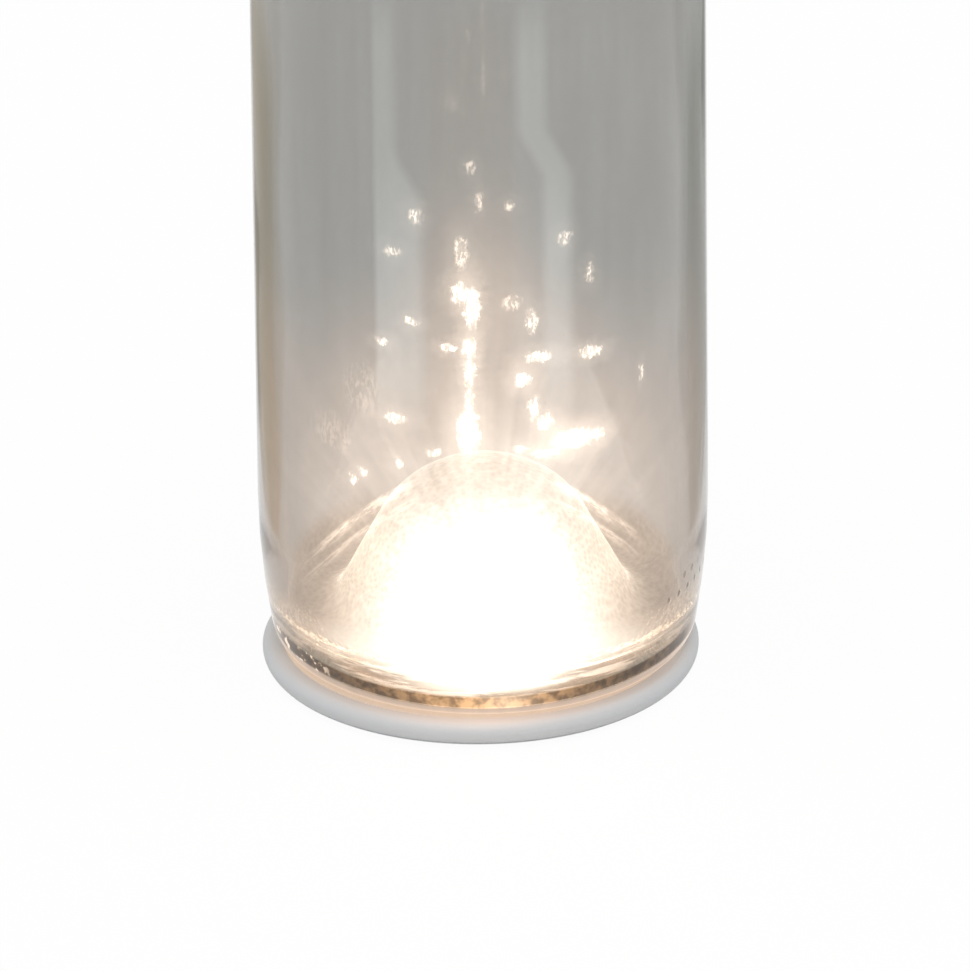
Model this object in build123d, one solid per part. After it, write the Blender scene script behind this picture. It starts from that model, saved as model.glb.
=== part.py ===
from build123d import *
import os
from math import atan2, cos, degrees, pi, radians, remainder, sin, sqrt, tan

# A corked clear glass bottle that stands on a slim white light disc. Millimetres, +Z up.
# The origin is on the table, on the bottle's axis. The disc's pieces are built round the disc's
# own axis and moved by disc_shift at the end, because the bottle was set down a little off centre.

# Bottle, heights from the plane that it stands on
bottle_radius = 33.75
bottle_height = 266.0
side_wall = 2.9
heel_height = 14.0
heel_inset = 2.45
heel_bend_share = 0.72
bearing_width = 8.6
heel_corner_share = 0.429
punt_corner_share = 0.52
punt_height = 24.8
punt_taper = 13.4
crown_bend_share = 0.98
punt_glass = 3.7
punt_side_glass = 3.2
heel_glass = 6.2
trough_bend_share = 0.865
inner_heel_bend = 40.0
shoulder_length = 21.0
shoulder_bend = 25.0
neck_length = 69.5
neck_foot_radius = 14.3
neck_foot_bend = 28.0
neck_top_radius = 13.5
bore_radius = 9.25
bore_foot_radius = 10.3
bore_mouth_corner = 0.9
band_radius = 14.75
band_height = 9.0
band_corner = 1.0
band_foot_slope = 0.9

# Cork, tapered, held where it meets the mouth
cork_length = 30.0
cork_half_taper = 1.05
cork_chamfer = 0.8
cork_gap = 0.06
cork_lift_over = 6.0
bottle_lift = 50.0

# Light disc, heights from the table
disc_inset = 0.95
disc_shift = 0.57
disc_bottom = 0.2
disc_lower_share = 0.57
disc_upper_share = 0.405
plate_thickness = 0.7
shell_wall = 1.5
shell_roof = 0.8
seam_gap = 0.05
seam_groove = 0.15

# Light window
window_land = 3.3
window_flange_width = 1.6
window_flange = 0.45
window_thickness = 0.65
window_recess = 0.1
window_lift = 0.18
window_gap = 0.1
weld_rib = 0.8

# Clear ring under the bottle and dark ring under the plate
grip_inner_inset = 3.7
grip_outer_inset = 1.4
grip_thickness = 0.4
grip_recess = 0.3
foot_width = 1.8
foot_screw_gap = 0.25
foot_thickness = 0.4

# Screws and bosses
screw_count = 3
screw_first_angle = 90.0
screw_shank_radius = 0.7
screw_head_radius = 1.25
screw_head_depth = 0.4
screw_length = 2.5
screw_slot_width = 0.35
screw_slot_depth = 0.2
screw_gap = 0.05
boss_radius = 1.8
boss_wall_gap = 0.6

# Coin cell, the standard 20 mm by 1.6 mm size
cell_radius = 10.0
cell_height = 1.6
can_wall = 0.25
cap_radius = 8.9
cap_wall = 0.2
cap_step = 0.35
seal_wall = 0.3
cell_gap = 0.05

# Battery door and its bayonet
door_radius = 10.6
door_gap = 0.15
lug_count = 3
lug_reach = 1.2
lug_thickness = 0.35
lug_angle = 26.0
lug_gap = 0.08
lug_clear_angle = 4.0
door_turn = 40.0
stop_width = 0.8
coin_slot_length = 13.0
coin_slot_width = 1.8
coin_slot_depth = 0.35
door_mark_radius = 0.45
door_mark_circle = 8.6
door_mark_depth = 0.15

# Circuit board
board_flange_gap = 2.7
board_thickness = 0.6
board_lift = 0.6
board_hole_gap = 0.25
post_count = 3
post_inset = 1.8
post_first_angle = 90.0
post_radius = 1.3
peg_radius = 0.6
peg_gap = 0.05
peg_head = 0.25

# Light diodes and resistors
diode_count = 6
diode_first_angle = -5.0
diode_length = 3.5
diode_width = 2.8
diode_height = 0.75
diode_cup_radius = 1.15
diode_cup_depth = 0.4
diode_dome = 0.12
resistor_length = 1.6
resistor_width = 0.8
resistor_height = 0.45
resistor_cap = 0.3
resistor_angle = 14.0

# Contacts
contact_thickness = 0.15
contact_gap = 0.03
leaf_width = 3.0
leaf_foot = 2.6
leaf_end = 1.6
leaf_rise = 0.25
leaf_angle = 150.0
side_width = 2.6
side_foot = 1.8
side_bulge = 0.45
side_angle = -30.0
side_notch_depth = 1.5
notch_gap = 0.3

# Slide switch, below the board near the disc's rim
switch_angle = -90.0
switch_inset = 2.8
switch_length = 6.6
switch_width = 2.7
switch_height = 1.4
switch_slot_length = 3.2
switch_slot_width = 1.3
switch_cavity = 0.5
knob_length = 1.5
knob_width = 1.1
knob_tip = 0.35
knob_travel = 1.5
knob_gap = 0.05
pin_count = 3
pin_pitch = 2.0
pin_width = 0.6
pin_thickness = 0.15
pin_length = 0.9
switch_gap = 0.15

overrun = 1.0

# Heights that follow from the sizes above
shoulder_height = bottle_height - neck_length - shoulder_length
neck_foot_height = bottle_height - neck_length
plate_top = disc_bottom + plate_thickness
board_bottom = plate_top + board_lift
board_top = board_bottom + board_thickness
cell_bottom = plate_top + cell_gap
cell_top = cell_bottom + cell_height
lug_top = plate_top + lug_gap + lug_thickness
side_tip_level = lug_top + lug_gap + contact_thickness
window_bottom = board_top + diode_height + diode_dome + window_lift
disc_top = window_bottom + window_thickness + window_recess
roof_bottom = disc_top - shell_roof
glass_bottom = grip_thickness - grip_recess + disc_top

# Radii that follow from the bottle's
heel_base_radius = bottle_radius - heel_inset
punt_base_radius = heel_base_radius - bearing_width
punt_crown_radius = punt_base_radius - punt_taper
disc_radius = bottle_radius - disc_inset
disc_lower_bend = disc_lower_share * (disc_top - disc_bottom)
disc_upper_bend = disc_upper_share * (disc_top - disc_bottom)
grip_inner_radius = punt_base_radius + grip_inner_inset
grip_outer_radius = heel_base_radius - grip_outer_inset
window_radius = grip_inner_radius - window_land
window_flange_radius = window_radius + window_flange_width
screw_circle = disc_radius - shell_wall - boss_wall_gap - boss_radius
foot_outer_radius = screw_circle - screw_head_radius - foot_screw_gap
foot_inner_radius = foot_outer_radius - foot_width
board_outer_radius = window_flange_radius - board_flange_gap
board_hole_radius = cell_radius + board_hole_gap
post_circle = board_outer_radius - post_inset
switch_circle = board_outer_radius - switch_inset
diode_circle = (board_hole_radius + board_outer_radius) / 2

# Cork, sized from the mouth that it stops
cork_top_radius = bore_radius + cork_half_taper
cork_tip_radius = bore_radius - cork_half_taper
cork_slope = (cork_top_radius - cork_tip_radius) / cork_length
cork_depth = (bore_radius - cork_gap - cork_tip_radius) / cork_slope
cork_pull = cork_depth + cork_lift_over


def rounded(points, radii):
    """An open outline in the XZ half-plane whose corners are rounded, a radius of 0 keeps one sharp."""
    return FilletPolyline(*[(x, 0, z) for x, z in points], radius=radii)


def turn_at(points, i):
    """How far an outline turns at one of its corners, in radians."""
    before, corner, after = points[i - 1], points[i], points[i + 1]
    first = atan2(corner[1] - before[1], corner[0] - before[0])
    second = atan2(after[1] - corner[1], after[0] - corner[0])
    return abs(remainder(second - first, 2 * pi))


def bend_at(points, i, reach):
    """The radius of a round that starts this far from the corner."""
    return reach / tan(turn_at(points, i) / 2)


def turned(lines):
    """The solid made by turning a closed outline, drawn in the XZ half-plane, about Z."""
    return revolve(make_face(lines), Axis.Z)


def ring(inner, outer, low, high):
    """A flat ring, or a disc when the inner radius is zero."""
    shape = Pos(0, 0, low) * Cylinder(outer, high - low, align=(Align.CENTER, Align.CENTER, Align.MIN))
    if inner > 0:
        hole = Cylinder(inner, high - low, align=(Align.CENTER, Align.CENTER, Align.MIN))
        shape = shape - Pos(0, 0, low) * hole
    return shape


def block(length, width, low, high):
    """A box centred on Z between two heights."""
    return Pos(0, 0, low) * Box(length, width, high - low, align=(Align.CENTER, Align.CENTER, Align.MIN))


def around(shape, count, circle, first_angle, span=360.0):
    """Copies of a shape set out on a circle, each turned to face outwards."""
    return [Rot(0, 0, first_angle + span * i / count) * Pos(circle, 0, 0) * shape for i in range(count)]


def joined(shapes):
    """Separate solids kept together as one piece of work."""
    return Compound([solid for shape in shapes for solid in shape.solids()])


def sector(inner, outer, low, high, middle_angle, angle):
    """A piece of a ring, this many degrees wide."""
    half = radians(angle / 2)
    reach = outer * 2
    wedge = make_face(Polyline((0, 0), (reach * cos(half), -reach * sin(half)),
                               (reach * cos(half), reach * sin(half)), close=True))
    prism = Pos(0, 0, low) * extrude(wedge, high - low)
    return Rot(0, 0, middle_angle) * (ring(inner, outer, low, high) & prism)


def strip(points, radii, thickness, width):
    """A bent metal strip: its centre line in the XZ plane, thickened and made this wide along Y."""
    line = FilletPolyline(*points, radius=radii)
    face = Face(offset(line, thickness / 2, side=Side.BOTH, closed=True).wires()[0])
    return extrude(Plane.XZ * face, width / 2, both=True)


# Bottle

def bottle_outside():
    """The outline of the bottle's outer surface with its punt, closed along the axis."""
    band_low = bottle_height - band_height
    points = [
        (0, punt_height),
        (punt_crown_radius, punt_height),
        (punt_base_radius, 0),
        (heel_base_radius, 0),
        (bottle_radius, heel_height),
        (bottle_radius, shoulder_height),
        (neck_foot_radius, neck_foot_height),
        (neck_top_radius, band_low - band_foot_slope),
        (band_radius, band_low),
        (band_radius, bottle_height),
        (0, bottle_height),
    ]
    radii = [
        bend_at(points, 1, crown_bend_share * punt_crown_radius),
        bend_at(points, 2, punt_corner_share * bearing_width),
        bend_at(points, 3, heel_corner_share * bearing_width),
        bend_at(points, 4, heel_bend_share * sqrt(heel_inset ** 2 + heel_height ** 2)),
        shoulder_bend,
        neck_foot_bend,
        0,
        band_corner,
        band_corner,
    ]
    return points, radii


def bottle_inside():
    """The outline of the bottle's inner surface, from the crown of the punt up to the mouth."""
    slant = punt_taper / punt_height
    side_shift = punt_side_glass * sqrt(1 + slant ** 2)
    crown_height = punt_height + punt_glass
    trough_inner = punt_base_radius + side_shift - slant * heel_glass
    crown_radius = trough_inner - slant * (crown_height - heel_glass)
    trough_outer = heel_base_radius - side_wall + heel_inset / heel_height * heel_glass
    shoulder_turn = atan2(bottle_radius - neck_foot_radius, neck_foot_height - shoulder_height)
    inner_shoulder = shoulder_height - side_wall * tan(shoulder_turn / 2)
    points = [
        (0, crown_height),
        (crown_radius, crown_height),
        (trough_inner, heel_glass),
        (trough_outer, heel_glass),
        (bottle_radius - side_wall, heel_height + heel_glass),
        (bottle_radius - side_wall, inner_shoulder),
        (bore_foot_radius, neck_foot_height - side_wall),
        (bore_radius, bottle_height - 2 * band_height),
        (bore_radius, bottle_height + overrun),
        (0, bottle_height + overrun),
    ]
    trough_turns = tan(turn_at(points, 2) / 2) + tan(turn_at(points, 3) / 2)
    trough_bend = trough_bend_share * (trough_outer - trough_inner) / trough_turns
    radii = [
        bend_at(points, 1, crown_bend_share * crown_radius),
        trough_bend,
        trough_bend,
        inner_heel_bend,
        shoulder_bend - side_wall,
        neck_foot_bend + side_wall,
        bore_radius,
        0,
    ]
    return points, radii


def turned_round(points, radii):
    """The solid inside a rounded outline that starts and ends on the axis."""
    outline = rounded(points, radii)
    axis_line = Line((0, 0, points[-1][1]), (0, 0, points[0][1]))
    return turned(outline.edges() + axis_line.edges())


def glass_bottle():
    """Clear bottle: outer form less the inner form, mouth eased."""
    body = turned_round(*bottle_outside())
    hollow = turned_round(*bottle_inside())
    glass = body - hollow
    mouth = [e for e in glass.edges().filter_by(GeomType.CIRCLE)
             if abs(e.radius - bore_radius) < bore_mouth_corner / 2
             and abs(e.center().Z - bottle_height) < bore_mouth_corner / 2]
    glass = fillet(mouth, bore_mouth_corner)
    over_mouth = pi * bore_radius ** 2 * overrun
    print("brimful capacity, ml:", round((hollow.volume - over_mouth) / 1000, 1))
    return Pos(0, 0, glass_bottom) * glass


def cork_stopper():
    """Tapered natural cork, both ends chamfered, standing in the mouth."""
    tip = bottle_height + glass_bottom - cork_depth
    cork = Pos(0, 0, tip) * Cone(cork_tip_radius, cork_top_radius, cork_length,
                                 align=(Align.CENTER, Align.CENTER, Align.MIN))
    return chamfer(cork.edges().filter_by(GeomType.CIRCLE), cork_chamfer)


# Light disc, outside

def disc_form():
    """The whole disc's rounded outer form, which the seam divides into shell and plate."""
    points = [(0, disc_bottom), (disc_radius, disc_bottom), (disc_radius, disc_top), (0, disc_top)]
    return turned_round(points, [disc_lower_bend, disc_upper_bend])


def seam_line():
    """The shallow groove that shows where shell and plate meet."""
    bend_drop = disc_lower_bend - plate_thickness
    seam_radius = disc_radius - disc_lower_bend + sqrt(disc_lower_bend ** 2 - bend_drop ** 2)
    return ring(seam_radius - seam_groove, disc_radius + overrun, plate_top - seam_groove / 2,
                plate_top + seam_gap + seam_groove / 2)


def screw_places(shape):
    """The shape at each screw."""
    return around(shape, screw_count, screw_circle, screw_first_angle)


def top_shell():
    """White cover: rounded wall, land for the bottle, seat for the window, three screw bosses."""
    shell = disc_form() - ring(0, disc_radius + overrun, 0, plate_top + seam_gap) - seam_line()
    inside = ring(0, disc_radius - shell_wall, 0, roof_bottom)
    shell = shell - inside - ring(0, window_radius + window_gap, 0, disc_top + overrun)
    shell = shell - ring(grip_inner_radius, grip_outer_radius, disc_top - grip_recess, disc_top + overrun)
    rib_inner = window_flange_radius + window_gap
    rib = ring(rib_inner, rib_inner + weld_rib, roof_bottom - window_flange, roof_bottom + seam_gap)
    bosses = screw_places(ring(0, boss_radius, plate_top + seam_gap, roof_bottom + seam_gap))
    shell = shell.fuse(rib, *bosses)
    pilot = ring(0, screw_shank_radius, 0, disc_bottom + screw_length + screw_gap)
    for hole in screw_places(pilot):
        shell = shell - hole
    return shell


def light_window():
    """Milky window: a thin panel with a flange that is welded under the shell's roof."""
    panel_top = disc_top - window_recess
    panel = ring(0, window_radius, window_bottom, panel_top)
    flange = ring(window_radius - window_thickness, window_flange_radius,
                  roof_bottom - window_flange, roof_bottom)
    skirt = ring(window_radius - window_thickness, window_radius, roof_bottom - window_flange, panel_top)
    return panel.fuse(flange, skirt)


def grip_ring():
    """Thin clear ring that the bottle stands on."""
    low = disc_top - grip_recess
    return ring(grip_inner_radius + seam_gap, grip_outer_radius - seam_gap, low, low + grip_thickness)


def lug_places(low, high, angle, reach):
    """The bayonet lugs, or their entry notches, at the locked place."""
    return [sector(door_radius - lug_reach / 2, door_radius + reach, low, high, 360.0 * i / lug_count, angle)
            for i in range(lug_count)]


def base_plate():
    """Bottom plate: door opening with bayonet notches, switch slot, ring groove, board posts."""
    form = disc_form() & ring(0, disc_radius + overrun, 0, plate_top)
    plate = form - seam_line() - ring(0, door_radius + door_gap, 0, plate_top + overrun)
    for notch in lug_places(0, plate_top + overrun, lug_angle + lug_clear_angle, lug_reach + door_gap):
        plate = plate - Rot(0, 0, -door_turn) * notch
    groove = ring(foot_inner_radius, foot_outer_radius, 0, foot_thickness)
    plate = plate - groove
    slot = block(switch_slot_length + knob_travel, switch_slot_width + switch_gap, 0, plate_top + overrun)
    plate = plate - at_switch(Pos(knob_travel / 2, 0, 0) * slot)
    head_low = disc_bottom + screw_head_depth
    sink = Pos(0, 0, disc_bottom) * Cone(screw_head_radius + screw_gap, screw_shank_radius + screw_gap,
                                         screw_head_depth + screw_gap,
                                         align=(Align.CENTER, Align.CENTER, Align.MIN))
    bore = ring(0, screw_shank_radius + screw_gap, 0, head_low + plate_thickness)
    for hole in screw_places(sink.fuse(bore)):
        plate = plate - hole
    post = ring(0, post_radius, plate_top - seam_gap, board_bottom)
    peg = ring(0, peg_radius, board_bottom - seam_gap, board_top + peg_gap)
    head = ring(0, peg_radius + peg_head, board_top + peg_gap, board_top + peg_gap + peg_head)
    posts = around(post.fuse(peg, head), post_count, post_circle, post_first_angle)
    stop_angle = degrees(stop_width / door_radius)
    stop_middle = lug_angle / 2 + stop_angle
    stops = [sector(door_radius + door_gap + lug_gap, door_radius + lug_reach + door_gap,
                    plate_top - seam_gap, lug_top,
                    360.0 * i / lug_count + stop_middle, stop_angle) for i in range(lug_count)]
    return plate.fuse(*posts, *stops)


def foot_ring():
    """Thin non-slip ring that the disc stands on, glued in the plate's groove."""
    return ring(foot_inner_radius + seam_gap, foot_outer_radius - seam_gap, 0, foot_thickness)


def battery_door():
    """Round door with three bayonet lugs above the plate, a coin slot and a turning mark."""
    door = ring(0, door_radius, disc_bottom, plate_top)
    rim = ring(cell_radius + cell_gap, door_radius, plate_top - seam_gap, lug_top)
    keeper = ring(cell_radius + cell_gap, door_radius + lug_reach, plate_top + lug_gap, lug_top)
    for lug in lug_places(0, plate_top + overrun, lug_angle, lug_reach):
        door = door.fuse(rim & lug, keeper & lug)
    slot = block(coin_slot_length, coin_slot_width, 0, disc_bottom + coin_slot_depth)
    mark = ring(0, door_mark_radius, 0, disc_bottom + door_mark_depth)
    return door - slot - Pos(0, -door_mark_circle, 0) * mark


def plate_screws():
    """Three countersunk screws with plain slots."""
    head = Pos(0, 0, disc_bottom) * Cone(screw_head_radius, screw_shank_radius, screw_head_depth,
                                         align=(Align.CENTER, Align.CENTER, Align.MIN))
    shank = ring(0, screw_shank_radius - screw_gap, disc_bottom, disc_bottom + screw_length)
    slot = block(2 * screw_head_radius + overrun, screw_slot_width, 0, disc_bottom + screw_slot_depth)
    return joined(screw_places(head.fuse(shank) - slot))


# Light disc, inside

def at_switch(shape):
    """The shape at the switch, its length across the disc's radius."""
    return Rot(0, 0, switch_angle) * Pos(switch_circle, 0, 0) * Rot(0, 0, 90) * shape


def circuit_board():
    """Ring-shaped board with holes for the pegs and cut-outs for the side contact and the switch."""
    board = ring(board_hole_radius, board_outer_radius, board_bottom, board_top)
    for hole in around(ring(0, peg_radius + peg_gap, 0, board_top + overrun),
                       post_count, post_circle, post_first_angle):
        board = board - hole
    notch = Pos(board_hole_radius, 0, 0) * block(2 * side_notch_depth, side_width + notch_gap, 0,
                                                 board_top + overrun)
    board = board - Rot(0, 0, side_angle) * notch
    bay = at_switch(block(switch_length + 2 * switch_gap, switch_width + 2 * switch_gap, 0,
                          board_top + overrun))
    return board - bay


def diode_places(shape):
    """The shape at each light diode."""
    return around(shape, diode_count, diode_circle, diode_first_angle)


def led_bodies():
    """White packages with a round cup in the top."""
    body = block(diode_width, diode_length, board_top, board_top + diode_height)
    cup = ring(0, diode_cup_radius, board_top + diode_height - diode_cup_depth,
               board_top + diode_height + overrun)
    return joined(diode_places(body - cup))


def led_lenses():
    """Phosphor fillings of the cups, slightly domed."""
    low = board_top + diode_height - diode_cup_depth
    high = board_top + diode_height
    ball_radius = (diode_cup_radius ** 2 + diode_dome ** 2) / (2 * diode_dome)
    fill = ring(0, diode_cup_radius, low, high + diode_dome)
    ball = Pos(0, 0, high + diode_dome - ball_radius) * Sphere(ball_radius)
    return joined(diode_places(fill & ball))


def resistors():
    """Chip resistors, one beside each diode, with raised metal ends."""
    body = block(resistor_width, resistor_length, board_top, board_top + resistor_height)
    waist = block(resistor_width, resistor_length - 2 * resistor_cap,
                  board_top + resistor_height - seam_gap, board_top + resistor_height + overrun)
    return joined(around(body - waist, diode_count, diode_circle, diode_first_angle + resistor_angle))


def negative_contact():
    """Leaf spring from the board's top over the cell, its tip on the cap's middle."""
    centre = contact_thickness / 2
    foot_level = board_top + centre
    tip_level = cell_top + contact_gap + centre
    foot_end = board_hole_radius + side_notch_depth
    points = [
        (foot_end + leaf_foot, foot_level),
        (foot_end, foot_level),
        (foot_end - leaf_rise, tip_level + leaf_rise),
        (leaf_end, tip_level),
        (-leaf_end, tip_level + leaf_rise / 2),
    ]
    leaf = strip(points, [leaf_rise / 2, leaf_rise / 2, cell_radius], contact_thickness, leaf_width)
    return Rot(0, 0, leaf_angle) * leaf


def positive_contact():
    """Side spring from the board's top down through its notch, its bulge on the cell's can."""
    centre = contact_thickness / 2
    foot_level = board_top + centre
    touch = cell_radius + contact_gap + centre
    stem = board_hole_radius + side_notch_depth / 2
    points = [
        (stem + side_foot, foot_level),
        (stem, foot_level),
        (touch, (board_top + side_tip_level) / 2),
        (touch + side_bulge, side_tip_level),
    ]
    spring = strip(points, [contact_thickness, contact_thickness], contact_thickness, side_width)
    return Rot(0, 0, side_angle) * spring


def cell_outline(points):
    """A piece of the coin cell, turned from its outline."""
    return turned(Polyline(*[(x, 0, z) for x, z in points], close=True).edges())


def cell_can():
    """Steel can, open at the top, its rim turned in over the seal."""
    inner = cell_radius - can_wall
    low = cell_bottom + can_wall
    rim_low = cell_top - cap_step
    return cell_outline([(0, cell_bottom), (cell_radius, cell_bottom), (cell_radius, rim_low),
                         (cell_radius - can_wall, rim_low + can_wall),
                         (inner - seal_wall, rim_low + can_wall), (inner - seal_wall, rim_low),
                         (inner, rim_low), (inner, low), (0, low)])


def cell_seal():
    """Nylon ring between the can and the cap."""
    outer = cell_radius - can_wall
    low = cell_bottom + can_wall
    return cell_outline([(outer - seal_wall, low), (outer, low), (outer, cell_top - cap_step),
                         (outer - seal_wall, cell_top - cap_step)])


def cell_cap():
    """Steel cap with a raised flat centre."""
    outer = cell_radius - can_wall - seal_wall
    low = cell_bottom + can_wall
    shoulder = cell_top - cap_step
    return cell_outline([(0, low), (outer, low), (outer, shoulder), (cap_radius, shoulder),
                         (cap_radius - cap_wall, cell_top), (0, cell_top)])


def switch_body():
    """Slide switch body, open below for its knob."""
    low = plate_top + cell_gap
    body = block(switch_length, switch_width, low, low + switch_height)
    cavity = Pos(knob_travel / 2, 0, 0) * block(switch_slot_length + knob_travel,
                                                switch_slot_width + switch_gap, 0, low + switch_cavity)
    return at_switch(body - cavity)


def switch_pins():
    """Three terminals from the switch's back onto the board's top."""
    low = board_top
    pins = []
    for i in range(pin_count):
        x = pin_pitch * (i - (pin_count - 1) / 2)
        pin = block(pin_width, pin_length, low, low + pin_thickness)
        pins.append(at_switch(Pos(x, switch_width / 2 + pin_length / 2, 0) * pin))
    return joined(pins)


def switch_knob():
    """Sliding knob: a wide foot in the body and a ribbed tip in the plate's slot."""
    low = plate_top + cell_gap
    foot = block(switch_slot_length - 2 * knob_gap, switch_slot_width, low + knob_gap,
                 low + switch_cavity - knob_gap)
    tip = block(knob_length, knob_width, disc_bottom + knob_tip / 2, low + 2 * knob_gap)
    return at_switch(foot.fuse(tip))


# Each file, its piece and whether it belongs to the disc
pieces = {
    "glass_bottle": (glass_bottle, False),
    "cork_stopper": (cork_stopper, False),
    "top_shell": (top_shell, True),
    "light_window": (light_window, True),
    "grip_ring": (grip_ring, True),
    "base_plate": (base_plate, True),
    "foot_ring": (foot_ring, True),
    "battery_door": (battery_door, True),
    "plate_screws": (plate_screws, True),
    "circuit_board": (circuit_board, True),
    "led_bodies": (led_bodies, True),
    "led_lenses": (led_lenses, True),
    "resistors": (resistors, True),
    "negative_contact": (negative_contact, True),
    "positive_contact": (positive_contact, True),
    "cell_can": (cell_can, True),
    "cell_seal": (cell_seal, True),
    "cell_cap": (cell_cap, True),
    "switch_body": (switch_body, True),
    "switch_pins": (switch_pins, True),
    "switch_knob": (switch_knob, True),
}

os.makedirs("parts", exist_ok=True)
for name, (make, on_disc) in pieces.items():
    shape = make()
    if on_disc:
        shape = Pos(-disc_shift, 0, 0) * shape
    export_step(shape, f"parts/{name}.step")
print("cork stands in by, mm:", round(cork_depth, 2), "top, mm:",
      round(glass_bottom + bottle_height - cork_depth + cork_length, 2))
print("travels: cork", round(cork_pull, 2), "mm, bottle", bottle_lift, "mm, door", door_turn,
      "degrees, knob", knob_travel, "mm")
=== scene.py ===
from math import cos, radians, sin

import bpy
import numpy as np
from bpy.props import FloatProperty, FloatVectorProperty, IntProperty, PointerProperty
from mathutils import Matrix, Vector


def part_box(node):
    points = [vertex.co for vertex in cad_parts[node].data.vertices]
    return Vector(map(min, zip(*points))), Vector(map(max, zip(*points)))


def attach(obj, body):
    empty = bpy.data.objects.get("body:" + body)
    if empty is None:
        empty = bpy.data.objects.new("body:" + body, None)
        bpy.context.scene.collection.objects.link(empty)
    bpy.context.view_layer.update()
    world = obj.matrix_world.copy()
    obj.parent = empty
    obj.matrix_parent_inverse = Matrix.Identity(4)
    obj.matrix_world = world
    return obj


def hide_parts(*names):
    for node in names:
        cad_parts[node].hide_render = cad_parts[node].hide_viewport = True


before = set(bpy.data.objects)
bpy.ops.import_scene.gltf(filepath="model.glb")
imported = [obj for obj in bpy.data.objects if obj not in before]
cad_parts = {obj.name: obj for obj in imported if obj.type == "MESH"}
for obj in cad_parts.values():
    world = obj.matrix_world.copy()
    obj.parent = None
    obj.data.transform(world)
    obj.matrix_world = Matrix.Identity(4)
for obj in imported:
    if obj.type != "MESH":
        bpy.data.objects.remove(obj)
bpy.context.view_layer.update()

# A corked clear glass bottle on a slim white light disc. Metres, +Z up, origin on the table.

bl_info = {
    "name": "Corked Bottle Light",
    "version": (1, 0, 0),
    "blender": (4, 5, 0),
    "location": "View3D > Sidebar > Bottle Light",
    "description": "Makes the looks of a corked glass bottle that stands on a lit disc",
    "category": "Object",
}

MM = 0.001

# The bottle's outline, heights from the plane that it stands on
GLASS_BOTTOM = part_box("glass_bottle")[0].z
BOTTLE_RADIUS = 33.75 * MM
BOTTLE_HEIGHT = 266.0 * MM
SIDE_WALL = 2.9 * MM
HEEL_HEIGHT = 14.0 * MM
HEEL_BASE_RADIUS = 31.3 * MM
HEEL_BEND = 117.0 * MM
HEEL_CORNER = 4.4 * MM
PUNT_BASE_RADIUS = 22.7 * MM
PUNT_BASE_CORNER = 7.4 * MM
PUNT_HEIGHT = 24.8 * MM
PUNT_CROWN_RADIUS = 9.3 * MM
PUNT_BEND = 15.2 * MM
PUNT_GLASS = 3.7 * MM
PUNT_SIDE_GLASS = 3.2 * MM
INNER_PUNT_BEND = 17.9 * MM
HEEL_GLASS = 6.2 * MM
TROUGH_CORNER = 3.9 * MM
INNER_HEEL_BEND = 40.0 * MM
SHOULDER_HEIGHT = 175.5 * MM
SHOULDER_BEND = 25.0 * MM
NECK_FOOT_HEIGHT = 196.5 * MM
NECK_FOOT_RADIUS = 14.3 * MM
NECK_FOOT_BEND = 28.0 * MM
NECK_TOP_RADIUS = 13.5 * MM
BORE_RADIUS = 9.25 * MM
BORE_FOOT_RADIUS = 10.3 * MM
MOUTH_CORNER = 0.9 * MM
LIP_RADIUS = 14.75 * MM
LIP_HEIGHT = 9.0 * MM
LIP_CORNER = 1.0 * MM
LIP_FOOT_SLOPE = 0.9 * MM
LIP_FOOT_CORNER = 0.3 * MM

# The steps of the bottle's mesh
ROUND_STEP = radians(5.0)
LEAST_POINTS = 4
LONGEST_STEP = 3.0 * MM

# The inner surface's slow ripples: turns round the bottle, rate up it, shift and share. They grow over
# the first stretch above the heel, and there are none in the narrow neck.
RIPPLES = ((7, 40.0, 0.0, 1.0), (13, -95.0, 1.3, 0.6), (3, 210.0, 0.0, 0.5))
RIPPLE_EASE = 20.0 * MM
RIPPLE_FROM = 1.6 * BORE_FOOT_RADIUS

# The light disc, heights from the table
DISC_AXIS = -0.57 * MM
DISC_TOP = 3.9 * MM
DIODE_CIRCLE = 16.125 * MM
DIODE_COUNT = 6
DIODE_TURN = radians(-5.0)
DIODE_SPOT = (6.0 * MM, 0.5 * MM)

# A span is a pair of levels: a smooth step starts at the first and is full at the second.

# Where the material parts the outer surface from the inner one
HEEL_DRAW = 2.3 * MM
HEEL_DRAW_SPAN = (HEEL_HEIGHT, 5.0 * MM)
FOOT_DRAW = 3.0 * MM
FOOT_DRAW_SPAN = (5.5 * MM, 3.5 * MM)
NECK_DRAW = 20.4 * MM
NECK_DRAW_SPAN = (169.8 * MM, 202.4 * MM)
OUTSIDE_SPAN = (-0.2 * MM, 0.2 * MM)
FRONT_SPAN = (-1.9 * MM, -2.0 * MM)
FRONT_TOP_SPAN = (130.0 * MM, 129.0 * MM)

# Where it parts the punt's underside, its upper side and the trough round it
PUNT_SLANT = (PUNT_BASE_RADIUS - PUNT_CROWN_RADIUS) / PUNT_HEIGHT
UNDER_SPAN = (-0.3 * MM, 0.3 * MM)
CAP_LEVEL = 10.05 * MM
CAP_RADIUS = 16.6 * MM
CAP_FOOT_SPAN = (17.9 * MM, 18.1 * MM)
TROUGH_SPAN = (30.8 * MM, 30.2 * MM)
TROUGH_INNER_SPAN = (26.0 * MM, 25.0 * MM)
TROUGH_TOP_SPAN = (13.5 * MM, 9.0 * MM)
DOME_FOOT_SPAN = (5.2 * MM, 5.8 * MM)
DOME_TOP_SPAN = (2 * PUNT_HEIGHT, 2 * PUNT_HEIGHT - 1.0 * MM)

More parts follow.
